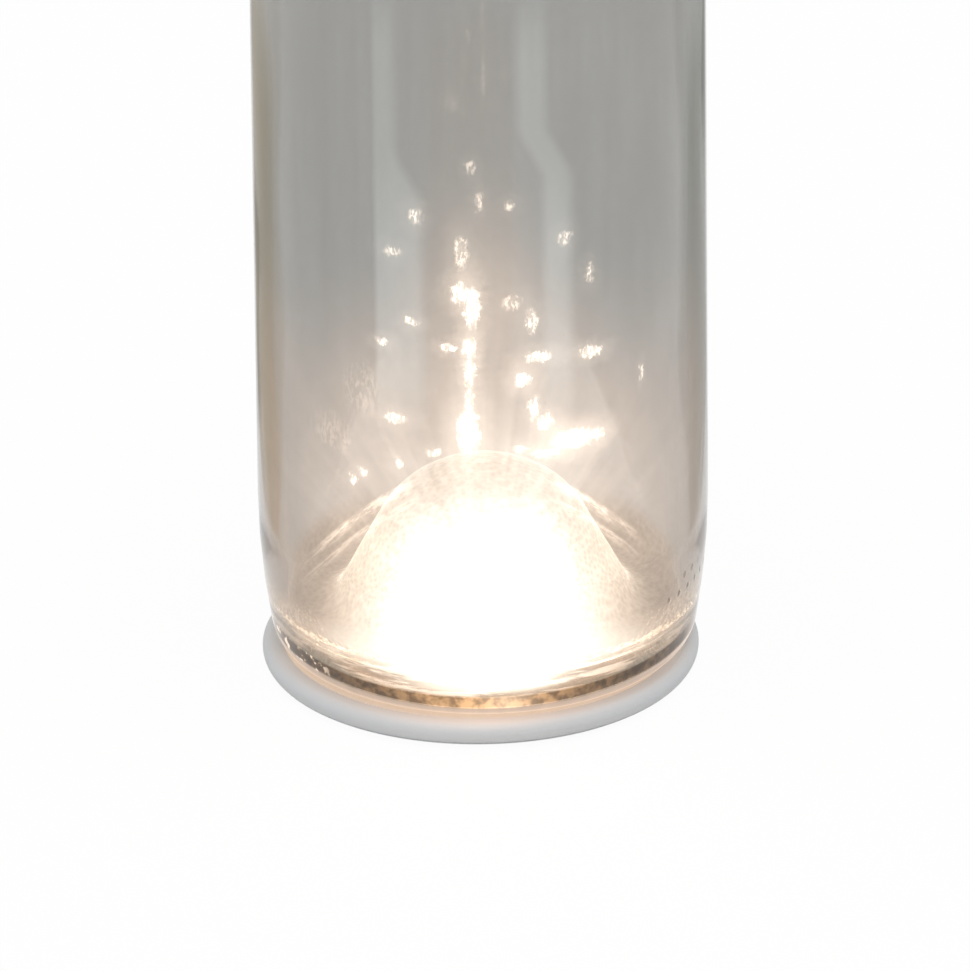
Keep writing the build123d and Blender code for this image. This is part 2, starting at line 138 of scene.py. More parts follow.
# The stipple of the punt and the painted light in it
STIPPLE_SCALE = 1150.0
STIPPLE_HEIGHT = 0.10 * MM
STIPPLE_SPAN = (2.0 * MM, 9.0 * MM)
CORE_ROUND_SPAN = (23.0 * MM, 8.0 * MM)
CORE_UP_SPAN = (36.0 * MM, 16.0 * MM)
CORE_TINT_SPAN = (0.05, 0.45)
CROWN_SPAN = (17.0 * MM, 27.0 * MM)
SLOPE_SPAN = (4.0 * MM, 14.0 * MM)
SLOPE_HALF = 15.0 * MM
RING_WANDER = 3.0 * MM
RING_RATE = 3.1 / MM
RING_SPAN = (18.0 * MM, 13.0 * MM)
DOME_DIM_SPAN = (26.0 * MM, 18.5 * MM)

# The plain raised dots round the heel
DOT_PITCH = radians(5.2)
DOT_LEVEL = 13.6 * MM
DOT_RADIUS = 0.6 * MM
DOT_HEIGHT = 0.25 * MM
DOTS_FROM = 27.0 * MM

# Where the front wall's painted light fades: towards the sides, and up the bottle
EDGE_FADE_SPAN = (-2.0 * MM, -12.0 * MM)
TOP_FADE_SPAN = (128.0 * MM, 112.0 * MM)
ABOVE_HEEL_SPAN = (8.0 * MM, 15.0 * MM)

# The painted column of light over the punt, its rays, and the wide skirt of painted light below it
COLUMN_HALF = 8.5 * MM
COLUMN_SPREAD = 11.0 * MM
COLUMN_SPREAD_SPAN = (88.0 * MM, 52.0 * MM)
COLUMN_FAINT_SPAN = (98.0 * MM, 68.0 * MM)
COLUMN_STRONG_SPAN = (70.0 * MM, 34.0 * MM)
RAY_CENTRE = 22.0 * MM
SKIRT_TOP_SPAN = (84.0 * MM, 40.0 * MM)
SKIRT_FOOT_SPAN = (8.0 * MM, 32.0 * MM)

# The pale upright bands, painted reflections of soft lamps: their sides across, and the heights at which
# they shift and fade
LEFT_OUTER_SPAN = (-16.0 * MM, -14.9 * MM)
LEFT_INNER = -11.7 * MM
LEFT_INNER_SPAN = (-0.4 * MM, 2.2 * MM)
LEFT_SHIFT = 3.9 * MM
LEFT_SHIFT_SPAN = (98.0 * MM, 88.0 * MM)
RIGHT_INNER_SPAN = (4.6 * MM, 6.8 * MM)
RIGHT_OUTER_SPAN = (10.8 * MM, 8.6 * MM)
RIGHT_SHIFT = 3.6 * MM
RIGHT_SHIFT_SPAN = (102.0 * MM, 92.0 * MM)
STRIPE_SPAN = (100.0 * MM, 78.0 * MM)
STRIPE_FOOT_SPAN = (48.0 * MM, 66.0 * MM)

# The painted arcs of light beside the crown of the punt: height = top - fall * across^2
WING_TOP = 47.3 * MM
WING_FALL = 0.0295 / MM
FIRST_WING_SPANS = ((-0.4 * MM, 0.4 * MM), (2.6 * MM, 0.6 * MM))
SECOND_WING_SPANS = ((2.9 * MM, 3.4 * MM), (5.4 * MM, 3.6 * MM))
WING_START_SPAN = (9.0 * MM, 13.0 * MM)
WING_LEFT_SPAN = (-28.5 * MM, -20.0 * MM)
WING_RIGHT_SPAN = (24.5 * MM, 18.0 * MM)
WING_BRIGHTER_SPAN = (0.0, 10.0 * MM)
WING_DEPTH = 3.0 * MM

# The dark band low on the heel, painted shade with a painted glow: its level at the middle, its rise at the
# sides, its half height, and where painted glints break it up at the left and shine at the middle
BAND_LEVEL = 3.3 * MM
BAND_LIFT = 0.8 * MM
BAND_SPREAD = 23.0 * MM
BAND_HALF = 1.1 * MM
BAND_SOFT = 0.25 * MM
BROKEN_SPAN = (-22.0 * MM, -25.0 * MM)
STAR_PLACE = 3.3 * MM
STAR_HALF = 3.5 * MM

# The painted light above that band
NARROW_HALF = 11.0 * MM
MIDDLE_HALF = 16.0 * MM
WIDE_HALF = 25.0 * MM
MIDDLE_GLARE_SPAN = (24.0 * MM, 10.0 * MM)
WIDE_GLARE_TOP_SPAN = (15.0 * MM, 10.0 * MM)
WIDE_GLARE_FOOT_SPAN = (5.0 * MM, 9.0 * MM)
GLARE_FOOT_SPAN = (0.8 * BAND_HALF, 2.2 * BAND_HALF)
LINES_SPAN = (4.0 * MM, 2.5 * MM)

# Where the front wall's tint changes, with painted shade at the middle and low at the sides
CENTRE_LEFT_SPAN = (-10.0 * MM, -6.0 * MM)
CENTRE_RIGHT_SPAN = (6.5 * MM, 3.5 * MM)
LOW_SIDE_SPAN = (18.0 * MM, 28.0 * MM)
LOW_TOP_SPAN = (28.0 * MM, 14.0 * MM)
THREAD_TOP_SPAN = (11.0 * MM, 8.0 * MM)
THREAD_SIDE_SPAN = (6.0 * MM, 15.0 * MM)

# Colours of the glass, of the painted light and painted shade in it, and of the lit pieces
GLARE_COLOUR = (1.0, 0.82, 0.66, 1.0)
BAND_PAINTED_GLOW = (1.0, 0.57, 0.27, 1.0)
FOOT_PAINTED_GLOW = (1.0, 0.75, 0.58, 1.0)
COOL_PAINTED_REFLECTION = (0.93, 1.0, 1.0, 1.0)
DOME_PAINTED_GLOW = (1.0, 0.87, 0.72, 1.0)
DOME_PAINTED_WHITE = (1.0, 0.97, 0.92, 1.0)
PUNT_SHADE = (0.30, 0.25, 0.20, 1.0)
THROUGH_COLOUR = (0.8, 0.8, 0.79, 1.0)
SOAK_COLOUR = (0.46, 0.43, 0.37, 1.0)
MILKY_COLOUR = (0.9, 0.88, 0.84, 1.0)
PHOSPHOR_LIGHT = (0.95, 0.78, 0.25, 1.0)
PHOSPHOR_DARK = (0.88, 0.66, 0.16, 1.0)
WHITE = (1.0, 1.0, 1.0, 1.0)
BLACK = (0.0, 0.0, 0.0, 1.0)

# Shares of the tint in the front wall: where it looks thin, smoky, at the middle and low at the sides
# (painted shade), and in the threads over the heel (painted shade)
THIN_SHARES = (1.09, 1.09, 1.09)
SMOKY_SHARES = (0.90, 0.89, 0.87)
CENTRE_SHADE_SHARES = (0.88, 0.80, 0.72)
LOW_SHADE_SHARES = (0.62, 0.57, 0.50)
THREAD_SHARES = (0.50, 0.36, 0.22)

# Brightness of the painted light in the wall, and the power that makes a bell flat
COLUMN_FAINT = 0.22
COLUMN_STRONG = 0.42
SKIRT_LIGHT = 0.13
STRIPE_LIGHT = 0.05
WING_LIGHT = 0.5
BROKEN_LIGHT = 0.7
STAR_LIGHT = 0.3
FLECK_LIGHT = 1.6
FLAT_POWER = 4.0

# Noises: scale, detail, roughness and distortion. A stretch is a factor on the coordinates, and a span
# under a noise is in its own levels.
RAY_NOISE = (1.0, 3.0, 0.6)
RAYS_ACROSS = 9.0
RAYS_UP = 14.0
CLOUD_NOISE = (70.0, 3.0, 0.6)
CLOUD_STRETCH = (1.0, 1.0, 0.6)
STREAK_NOISE = (420.0, 2.0)
STREAK_STRETCH = 0.06
WARP_NOISE = {"Scale": 650.0, "Detail": 3.0, "Roughness": 0.65}
FLECK_NOISE = (1500.0, 2.0, 0.7)
FLECK_STRETCH = (1.3, 1.3, 0.5)
FLECK_SPAN = (0.44, 0.60)
WING_NOISE = (1500.0, 3.0, 0.65)
WING_STRETCH = 0.35
WING_STREAK_SPAN = (0.40, 0.60)
THREAD_NOISE = (1.0, 3.0, 0.6)
THREADS_ROUND = 3.0
THREADS_UP = 900.0
THREAD_DARK_SPAN = (0.54, 0.44)
THREAD_BRIGHT_SPAN = (0.50, 0.58)
PATCH_NOISE = (1.0, 2.0, 0.6)
PATCHES_ROUND = 16.0
PATCHES_UP = 600.0
PATCHES_SLICE = 3.0
PATCH_SPAN = (0.36, 0.64)
BROKEN_PATCH_SPAN = (0.54, 0.60)
SMOKE_NOISE = (26.0, 3.0, 0.55)
SMOKE_STRETCH = (1.0, 1.0, 0.4)
THIN_SPAN = (0.38, 0.64)
SMOKY_SPAN = (0.60, 0.36)
WARM_SPAN = (0.1, 0.7)
DOME_NOISE = (200.0, 3.0, 0.65)
CORK_NOISE = (420.0, 4.0, 0.6)
PIT_NOISE = (260.0, 3.0, 0.7, 0.6)
PIT_STRETCH = (1.0, 1.0, 0.3)
PIT_SPAN = (0.60, 0.70)
MOTTLE_NOISE = (180.0, 3.0)
FINE_NOISE = (2600.0, 2.0)
RUBBER_NOISE = (1500.0, 3.0)
DRAWN_NOISE = (900.0, 3.0, 0.6)
DRAWN_STRETCH = (1.0, 0.08, 1.0)
SMUDGE_NOISE = (120.0, 2.0)
GLAZE_NOISE = (1200.0, 2.0)
POWDER_NOISE = (3000.0, 2.0)
CARD_NOISE = (30.0,)

# Painted glints in the front wall, in millimetres: across, up, half width, half height, and strength
GLINT_SHAKE = 2.2 * MM
GLINT_SPAN = (1.3, 0.3)
HALO_SPAN = (3.4, 0.2)
HALO_SHARE = 0.12
GLINTS = (
    (-3.2, 75.0, 1.3, 1.6, 1.5), (-1.3, 72.6, 1.1, 3.2, 1.7), (-1.9, 66.1, 1.0, 1.6, 1.5),
    (-1.7, 62.3, 0.9, 1.7, 1.6), (-2.0, 52.6, 1.6, 3.4, 2.0), (-1.9, 58.0, 0.6, 5.0, 0.6),
    (-9.5, 86.9, 1.1, 1.4, 0.45), (-12.9, 80.8, 1.3, 0.9, 0.4), (-0.1, 89.6, 0.6, 1.5, 0.4),
    (4.4, 88.9, 0.8, 0.9, 0.35), (-2.9, 81.5, 1.1, 2.6, 0.55), (12.5, 82.6, 1.0, 1.3, 0.4),
    (15.9, 76.4, 0.7, 1.5, 0.5), (-10.1, 69.8, 1.1, 0.7, 0.7), (-14.6, 65.9, 1.0, 0.7, 0.8),
    (-5.0, 66.2, 1.1, 0.7, 0.9), (4.4, 73.2, 1.4, 1.2, 0.35), (7.3, 70.0, 0.9, 2.1, 0.6),
    (8.4, 64.1, 1.8, 0.9, 1.2), (16.1, 63.6, 1.4, 0.9, 1.2), (-13.0, 53.9, 1.8, 0.9, 0.9),
    (6.1, 60.8, 1.3, 1.2, 2.0), (7.6, 56.0, 0.8, 1.8, 0.8), (9.4, 53.6, 1.3, 1.1, 1.1),
    (13.3, 50.0, 2.9, 1.5, 2.4), (17.2, 50.0, 1.0, 0.9, 0.9), (-1.3, 95.0, 0.8, 1.1, 0.3),
    (-19.2, 42.4, 0.7, 0.9, 0.8), (-17.7, 44.1, 0.6, 0.7, 0.7), (-12.4, 46.8, 0.7, 1.0, 0.7),
    (-7.2, 48.9, 1.0, 0.6, 0.8), (5.8, 49.5, 1.2, 0.6, 0.9), (9.4, 48.4, 1.8, 0.7, 0.9),
    (-17.6, 57.6, 3.0, 4.5, 0.07), (23.5, 57.6, 0.3, 1.4, 0.4), (-22.0, 49.0, 3.4, 3.4, 0.06),
)

# Painted warm light on the disc's top and edge, strongest at the middle across
PAINTED_SPILL_COLOUR = (1.0, 0.62, 0.42)
PAINTED_SPILL_STRENGTH = 0.24
PAINTED_SPILL_HALF = 18.0 * MM
PAINTED_SPILL_ROUND_SPAN = (33.2 * MM, 31.2 * MM)
PAINTED_SPILL_UP_SPAN = (DISC_TOP - 1.3 * MM, DISC_TOP - 0.1 * MM)

# Finishes of the small pieces: colour and roughness
SILICONE = ((0.85, 0.80, 0.72), 0.3)
# The silicone ring's painted glow
SILICONE_PAINTED_GLOW = 0.2
FOAM = ((0.45, 0.45, 0.46), 0.9)
SCREW_STEEL = ((0.55, 0.54, 0.52), 0.3)
CONTACT_STEEL = ((0.70, 0.67, 0.60), 0.25)
CELL_STEEL = ((0.66, 0.66, 0.65), 0.28)
CELL_NYLON = ((0.12, 0.12, 0.13), 0.5)
BOARD = ((0.85, 0.86, 0.83), 0.35)
DIODE_BODY = ((0.88, 0.88, 0.86), 0.3)
RESISTOR_GLAZE = ((0.03, 0.03, 0.035), 0.3)
SWITCH_STEEL = ((0.62, 0.62, 0.6), 0.35)
PIN_METAL = ((0.72, 0.66, 0.5), 0.3)
KNOB_PLASTIC = ((0.03, 0.03, 0.03), 0.4)

# Heights of the surface grain on the other pieces
CORK_GRAIN = 0.25 * MM
MOULDING_GRAIN = 0.02 * MM
RUBBER_GRAIN = 0.03 * MM
HARD_GRAIN = 0.01 * MM

# The cards beside the bottle
CARD_DISTANCE = 60.0 * MM
CARD_LENGTH = 120.0 * MM
CARD_HEIGHT = 115.0 * MM
CARD_FADE = 45.0 * MM
CARD_FOOT_SPAN = (0.0, 7.5 * MM)
CARD_TOP_SPAN = (CARD_HEIGHT, CARD_HEIGHT - CARD_FADE)
CARD_NEAR_SPAN = (0.0, 22.5 * MM)
CARD_FAR_SPAN = (CARD_LENGTH, CARD_LENGTH - CARD_FADE)
LEFT_CARD_COLOUR = (0.72, 0.66, 0.55)
RIGHT_CARD_COLOUR = (0.64, 0.64, 0.61)

# The floor and the lamp
FLOOR_OWN_LIGHT = 0.95
FLOOR_SEEN = 0.97
FLOOR_HALF = 6.0
LAMP_PLACE = (0.0, -0.5, 1.7)
LAMP_SIDE = 1.6

# The photograph's camera
CAMERA_DISTANCE = 2.5
CAMERA_RISE = radians(24.95)
CAMERA_ROLL = radians(-0.591)
CAMERA_AIM = (0.314 * MM, 0.0, 28.18 * MM)
FOCAL_PIXELS = 16688.0
FRAME_PIXELS = 971
SENSOR_SIDE = 36.0
CAMERA_REACH = 100.0


# Shader maths

class Value:
    """A socket that can be used in sums: each operator adds a Math node."""

    def __init__(self, shader, socket):
        self.shader = shader
        self.socket = socket

    def math(self, operation, *others):
        """One Math node on this value and up to two others."""
        return self.shader.math(operation, self, *others)

    def __add__(self, other):
        return self.math("ADD", other)

    def __sub__(self, other):
        return self.math("SUBTRACT", other)

    def __rsub__(self, other):
        return self.shader.math("SUBTRACT", other, self)

    def __mul__(self, other):
        return self.math("MULTIPLY", other)

    def __truediv__(self, other):
        return self.math("DIVIDE", other)

    def __pow__(self, other):
        return self.math("POWER", other)

    __radd__ = __add__
    __rmul__ = __mul__

    def clamped(self):
        """The value held between 0 and 1, by the clamp of its own Math node."""
        self.socket.node.use_clamp = True
        return self

    def rise(self, low, high):
        """A smooth step from 0 at low to 1 at high. With low above high it falls."""
        ends = (high, low, 1.0, 0.0) if low > high else (low, high, 0.0, 1.0)
        node = self.shader.add("MapRange", {"interpolation_type": "SMOOTHSTEP"},
                               {"Value": self, "From Min": ends[0], "From Max": ends[1],
                                "To Min": ends[2], "To Max": ends[3]})
        return Value(self.shader, node.outputs["Result"])

    def within(self, first, second):
        """The product of two smooth steps, each given as a span."""
        return self.rise(*first) * self.rise(*second)

    def bell(self, half, power=2.0):
        """A bell round 0: 1 there and 1 / e at half. A higher power makes it flatter."""
        return ((self / half) ** power * -1.0).math("EXPONENT")


class Shader:
    """The nodes of one material, or of the surroundings."""

    def __init__(self, name, kind="materials"):
        self.owner = getattr(bpy.data, kind).new(name)
        self.owner.use_nodes = True
        self.tree = self.owner.node_tree
        self.tree.nodes.clear()
        self.place = self.add("TexCoord", {}, {}).outputs["Object"]

    def add(self, kind, settings, sockets):
        """One node of this type, its settings set first and then its sockets' values or links."""
        node = self.tree.nodes.new("ShaderNode" + kind)
        for key, value in settings.items():
            setattr(node, key, value)
        for key, value in sockets.items():
            socket = node.inputs[key]
            if isinstance(value, Value):
                self.tree.links.new(value.socket, socket)
            elif isinstance(value, bpy.types.NodeSocket):
                self.tree.links.new(value, socket)
            else:
                socket.default_value = value
        return node

    def math(self, operation, *values):
        """One Math node."""
        node = self.add("Math", {"operation": operation}, dict(enumerate(values)))
        return Value(self, node.outputs[0])

    def vector(self, scale):
        """The piece's own coordinates, scaled."""
        node = self.add("Mapping", {}, {"Vector": self.place, "Scale": scale})
        return node.outputs["Vector"]

    def axes(self):
        """The three coordinates as values."""
        node = self.add("SeparateXYZ", {}, {"Vector": self.place})
        return [Value(self, node.outputs[axis]) for axis in "XYZ"]

    def joined(self, x, y, z):
        """Three values as one vector."""
        return self.add("CombineXYZ", {}, {"X": x, "Y": y, "Z": z}).outputs["Vector"]

    def noise(self, vector, scale, detail=2.0, roughness=0.5, distortion=0.0):
        """Smooth noise from 0 to 1."""
        node = self.add("TexNoise", {}, {"Vector": vector, "Scale": scale, "Detail": detail,
                                                   "Roughness": roughness, "Distortion": distortion})
        return Value(self, node.outputs["Fac"])

    def cells(self, vector, scale):
        """Distance to the nearest of scattered points."""
        node = self.add("TexVoronoi", {}, {"Vector": vector, "Scale": scale})
        return Value(self, node.outputs["Distance"])

    def mix(self, share, first, second):
        """A colour between two, as a socket."""
        node = self.add("Mix", {"data_type": "RGBA"}, {0: share, 6: first, 7: second})
        return node.outputs[2]

    def shades(self, share, colour, darker):
        """A colour that passes into a darker share of itself, as a socket."""
        return self.mix(share, rgb(colour), rgb([c * darker for c in colour]))

    def scaled(self, colour, amount):
        """A colour times a value, as a socket."""
        node = self.add("VectorMath", {"operation": "SCALE"}, {"Vector": colour, "Scale": amount})
        return node.outputs["Vector"]

    def summed(self, first, second):
        """Two colours added, as a socket."""
        node = self.add("VectorMath", {"operation": "ADD"}, {0: first, 1: second})
        return node.outputs["Vector"]

    def bump(self, height, distance):
        """A normal from a height."""
        node = self.add("Bump", {}, {"Height": height, "Distance": distance, "Strength": 1.0})
        return node.outputs["Normal"]

    def seen(self):
        """1 for a ray from the camera, straight, reflected or through glass, and 0 for any other."""
        path = self.add("LightPath", {}, {})
        straight, reflected, through = [Value(self, path.outputs["Is " + kind + " Ray"])
                                        for kind in ("Camera", "Glossy", "Transmission")]
        return (straight + reflected + through).clamped()

    def blend(self, share, first, second):
        """One surface that passes into another, as a socket."""
        return self.add("MixShader", {}, {0: share, 1: first, 2: second}).outputs[0]

    def principled(self, **sockets):
        """The main shader as a socket. The names of its own sockets are given with underlines."""
        named = {key.replace("_", " "): value for key, value in sockets.items()}
        return self.add("BsdfPrincipled", {}, named).outputs[0]

    def finish(self, surface, volume=None, output="OutputMaterial"):
        """Joins the shader to the output."""
        sockets = {"Surface": surface}
        if volume is not None:
            sockets["Volume"] = volume
        self.add(output, {}, sockets)
        return self.owner


def rgb(colour):
    """A colour with its alpha."""
    return (*colour, 1.0)


# Surfaces

def rounded_outline(corners, radii, step):
    """Points along an outline whose corners are rounded.

    At a corner with half angle h between its sides a round of radius r starts r / tan(h) from the corner,
    and its centre is r / sin(h) away along the line that halves the angle.
    """
    corners = [np.array(corner, float) for corner in corners]
    points = [corners[0][None]]
    for before, corner, after, radius in zip(corners, corners[1:], corners[2:], radii):
        to_before = (before - corner) / np.linalg.norm(before - corner)
        to_after = (after - corner) / np.linalg.norm(after - corner)
        half = np.arccos(np.clip(to_before @ to_after, -1, 1)) / 2
        middle = (to_before + to_after) / np.linalg.norm(to_before + to_after)
        centre = corner + middle * radius / np.sin(half)
        start = corner + to_before * radius / np.tan(half) - centre
        end = corner + to_after * radius / np.tan(half) - centre
        first = np.arctan2(start[1], start[0])
        sweep = (np.arctan2(end[1], end[0]) - first + np.pi) % (2 * np.pi) - np.pi
        count = max(LEAST_POINTS, int(np.ceil(abs(sweep) / step)) + 1)
        angles = first + np.linspace(0, sweep, count)
        points.append(centre + radius * np.stack([np.cos(angles), np.sin(angles)], 1))
    points.append(corners[-1][None])
    return np.concatenate(points)


def split_long(points, longest):
    """The outline with its long straight stretches divided evenly."""
    steps = np.linalg.norm(np.diff(points, axis=0), axis=1)
    counts = np.maximum(1, np.ceil(steps / longest).astype(int))
    pieces = [a + (b - a) * np.linspace(0, 1, n, endpoint=False)[:, None]
              for a, b, n in zip(points, points[1:], counts)]
    return np.concatenate(pieces + [points[-1:]])


def mesh_object(name, points, faces):
    """A smooth-shaded object at the origin from vertex and face arrays."""
    mesh = bpy.data.meshes.new(name)
    mesh.from_pydata(points.tolist(), [], faces)
    mesh.update()
    mesh.polygons.foreach_set("use_smooth", np.ones(len(mesh.polygons), bool))
    obj = bpy.data.objects.new(name, mesh)
    bpy.context.scene.collection.objects.link(obj)
    return obj


def lathe(name, outline, segments, wave):
    """A closed surface: the outline's radius and height turned round the axis.

    Point (i, j) is (r_i cos a_j, r_i sin a_j, z_i) with a_j = 2 pi j / segments. The outline starts and
    ends on the axis, with one point and a fan of triangles there. The wave adds to r a function of r, z
    and the angle.
    """
    angles = np.linspace(0, 2 * np.pi, segments, endpoint=False)
    rows = outline[1:-1]
    radius = np.repeat(rows[:, :1], segments, 1)
    height = np.repeat(rows[:, 1:], segments, 1)
    around = np.repeat(angles[None], len(rows), 0)
    radius = radius + wave(radius, height, around)
    points = np.stack([radius * np.cos(around), radius * np.sin(around), height], -1).reshape(-1, 3)
    row = np.arange(len(rows) - 1)[:, None] * segments
    ring = np.arange(segments)
    following = (ring + 1) % segments
    quads = np.stack([row + ring, row + following, row + segments + following, row + segments + ring], -1)
    faces = quads.reshape(-1, 4)[:, ::-1].tolist()
    first = len(points)
    points = np.concatenate([points, [[0, 0, outline[0, 1]], [0, 0, outline[-1, 1]]]])
    base = (len(rows) - 1) * segments
    faces += np.stack([np.full(segments, first), following, ring], 1).tolist()
    faces += np.stack([np.full(segments, first + 1), base + ring, base + following], 1).tolist()
    return mesh_object(name, points, faces)


def outward(obj):
    """Turns the faces to point out of a closed surface, by the sign of its volume."""
    mesh = obj.data
    mesh.calc_loop_triangles()
    corners = np.zeros(len(mesh.loop_triangles) * 3, np.int32)
    mesh.loop_triangles.foreach_get("vertices", corners)
    place = np.zeros(len(mesh.vertices) * 3, np.float32)
    mesh.vertices.foreach_get("co", place)
    tri = place.reshape(-1, 3).astype(float)[corners.reshape(-1, 3)]
    volume = np.einsum("ij,ij->i", tri[:, 0], np.cross(tri[:, 1], tri[:, 2])).sum() / 6
    if volume < 0:
        mesh.flip_normals()


def dress(obj, material, body, slot, *nodes):
    """Gives a new piece its material and body, and hides the CAD parts of the nodes that it stands for. Its
    slot is not used.
    """
    obj.data.materials.clear()
    obj.data.materials.append(material)
    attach(obj, body)
    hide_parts(*nodes)


def dress_node(node, material):
    """Gives a CAD piece its material."""
    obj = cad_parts[node]
    obj.data.materials.clear()
    obj.data.materials.append(material)


# Settings that a user would change

class GlassSettings(bpy.types.PropertyGroup):
    """The bottle's glass."""
    tint: FloatVectorProperty(name="Tint", description="Colour of the glass at its outside",
                              subtype="COLOR", size=3, default=(0.39, 0.39, 0.378))
    density: FloatProperty(name="Density", description="How fast the glass darkens with depth",
                           default=60.0, min=0.0)
    ior: FloatProperty(name="IOR", description="Refractive index", default=1.47, min=1.0)
    wave_height: FloatProperty(name="Wave Height", description="Unevenness of the inner surface",
                               default=0.05 * MM, unit="LENGTH")
    segments: IntProperty(name="Segments", description="Steps round the bottle", default=264, min=16)


class LightSettings(bpy.types.PropertyGroup):
    """The light disc."""
    glow: FloatVectorProperty(name="Glow", description="Colour of the light", subtype="COLOR", size=3,
                              default=(1.0, 0.66, 0.46))
    window_strength: FloatProperty(name="Window Strength", description="Brightness of the window",
                                   default=6.0, min=0.0)
    shell: FloatVectorProperty(name="Shell", description="Colour of the disc's mouldings",
                               subtype="COLOR", size=3, default=(0.72, 0.735, 0.75))


class CorkSettings(bpy.types.PropertyGroup):
    """The cork."""
    light: FloatVectorProperty(name="Light", description="Light grain", subtype="COLOR", size=3,
                               default=(0.60, 0.40, 0.22))
    dark: FloatVectorProperty(name="Dark", description="Dark pits", subtype="COLOR", size=3,
                              default=(0.16, 0.08, 0.035))


class StageSettings(bpy.types.PropertyGroup):
    """The lamp, the floor and the surroundings."""
    sky: FloatProperty(name="Sky", description="Brightness of the surroundings as light", default=0.6)
    lamp_watts: FloatProperty(name="Lamp", description="Power of the lamp overhead", default=13.0)
    floor_bounce: FloatProperty(name="Floor Bounce", description="Share of light the floor returns",
                                default=0.8, min=0.0, max=1.0)


# Materials

def radius_of(shader, axis_x=0.0):
    """Distance from an upright axis, and the height."""
    x, y, z = shader.axes()
    return ((x - axis_x) ** 2.0 + y ** 2.0) ** 0.5, z


def wall_light(shader, x, z):
    """Painted light in the bottle's front wall: a soft column over the lit disc, broken into faint rays."""
    column = x.bell(COLUMN_HALF + COLUMN_SPREAD * z.rise(*COLUMN_SPREAD_SPAN))
    level = COLUMN_FAINT * z.rise(*COLUMN_FAINT_SPAN) + COLUMN_STRONG * z.rise(*COLUMN_STRONG_SPAN)
    angle = x.math("ARCTAN2", z - RAY_CENTRE)
    rays = shader.noise(shader.joined(angle * RAYS_ACROSS, z * RAYS_UP, 0.0), *RAY_NOISE)
    cloud = shader.noise(shader.vector(CLOUD_STRETCH), *CLOUD_NOISE)
    level = level * (0.10 + 0.90 * rays + 0.90 * cloud)
    skirt = SKIRT_LIGHT * z.within(SKIRT_TOP_SPAN, SKIRT_FOOT_SPAN) * (0.2 + 0.8 * cloud)
    return column * level + skirt


def painted_lamp_reflections(shader, x, z):
    """Painted reflections of soft lamps: pale upright bands in the front wall."""
    left_inner = LEFT_INNER + LEFT_SHIFT * z.rise(*LEFT_SHIFT_SPAN)
    left = x.rise(*LEFT_OUTER_SPAN) * (left_inner - x).rise(*LEFT_INNER_SPAN)
    shifted = x - RIGHT_SHIFT * z.rise(*RIGHT_SHIFT_SPAN)
    right = shifted.within(RIGHT_INNER_SPAN, RIGHT_OUTER_SPAN)
    fade = 1.25 + 0.85 * z.rise(*STRIPE_SPAN)
    streak = shader.noise(shader.joined(x, 0.0, z * STREAK_STRETCH), *STREAK_NOISE)
    return ((left + right) * fade + streak * 0.7) * z.rise(*STRIPE_FOOT_SPAN) * STRIPE_LIGHT


def wall_glints(shader):
    """Painted glints, broken into flecks, where the lit punt shows in the uneven wall, each with a faint
    halo.
    """
    warp = shader.add("TexNoise", {}, {"Vector": shader.place, **WARP_NOISE})
    place = shader.summed(shader.place, shader.scaled(warp.outputs["Color"], GLINT_SHAKE))
    half = GLINT_SHAKE / 2 / MM
    flecks = shader.noise(shader.vector(FLECK_STRETCH), *FLECK_NOISE).rise(*FLECK_SPAN) * FLECK_LIGHT
    total = None
    for across, up, half_width, half_height, strength in GLINTS:
        size = (1 / (half_width * MM), 0.0, 1 / (half_height * MM))
        shift = (-(across + half) / half_width, 0.0, -(up + half) / half_height)
        spot = shader.add("Mapping", {}, {"Vector": place, "Location": shift, "Scale": size})
        length = shader.add("VectorMath", {"operation": "LENGTH"}, {0: spot.outputs["Vector"]})
        away = Value(shader, length.outputs["Value"])
        halo = away.rise(*HALO_SPAN) * (HALO_SHARE * strength)
        glint = away.rise(*GLINT_SPAN) * strength * (0.3 + flecks) + halo
        total = glint if total is None else total + glint
    return total


def punt_wings(shader, x, z):
    """Two painted arcs of light that fall away from the punt's crown, its edge seen a second time in the
    wall.
    """
    below = WING_TOP - x ** 2.0 * WING_FALL - z
    arc = below.within(*FIRST_WING_SPANS) + below.within(*SECOND_WING_SPANS) * 0.6
    streaks = shader.noise(shader.joined(x * WING_STRETCH, WING_DEPTH, below), *WING_NOISE)
    reach = x.math("ABSOLUTE").rise(*WING_START_SPAN) * x.within(WING_LEFT_SPAN, WING_RIGHT_SPAN)
    reach = reach * (1.0 + 0.3 * x.rise(*WING_BRIGHTER_SPAN))
    return arc * reach * (0.25 + 0.85 * streaks.rise(*WING_STREAK_SPAN))


def heel_dots(x, y, up):
    """Height of a row of plain raised dots on the right of the heel: 1 at each dot's middle."""
    steps = y.math("ARCTAN2", x) / DOT_PITCH
    along = (steps.math("FRACT") - 0.5) * (DOT_PITCH * BOTTLE_RADIUS)
    away = (along ** 2.0 + (up - DOT_LEVEL) ** 2.0) ** 0.5
    return away.rise(DOT_RADIUS, 0.5 * DOT_RADIUS) * x.rise(DOTS_FROM, DOTS_FROM + DOT_RADIUS)


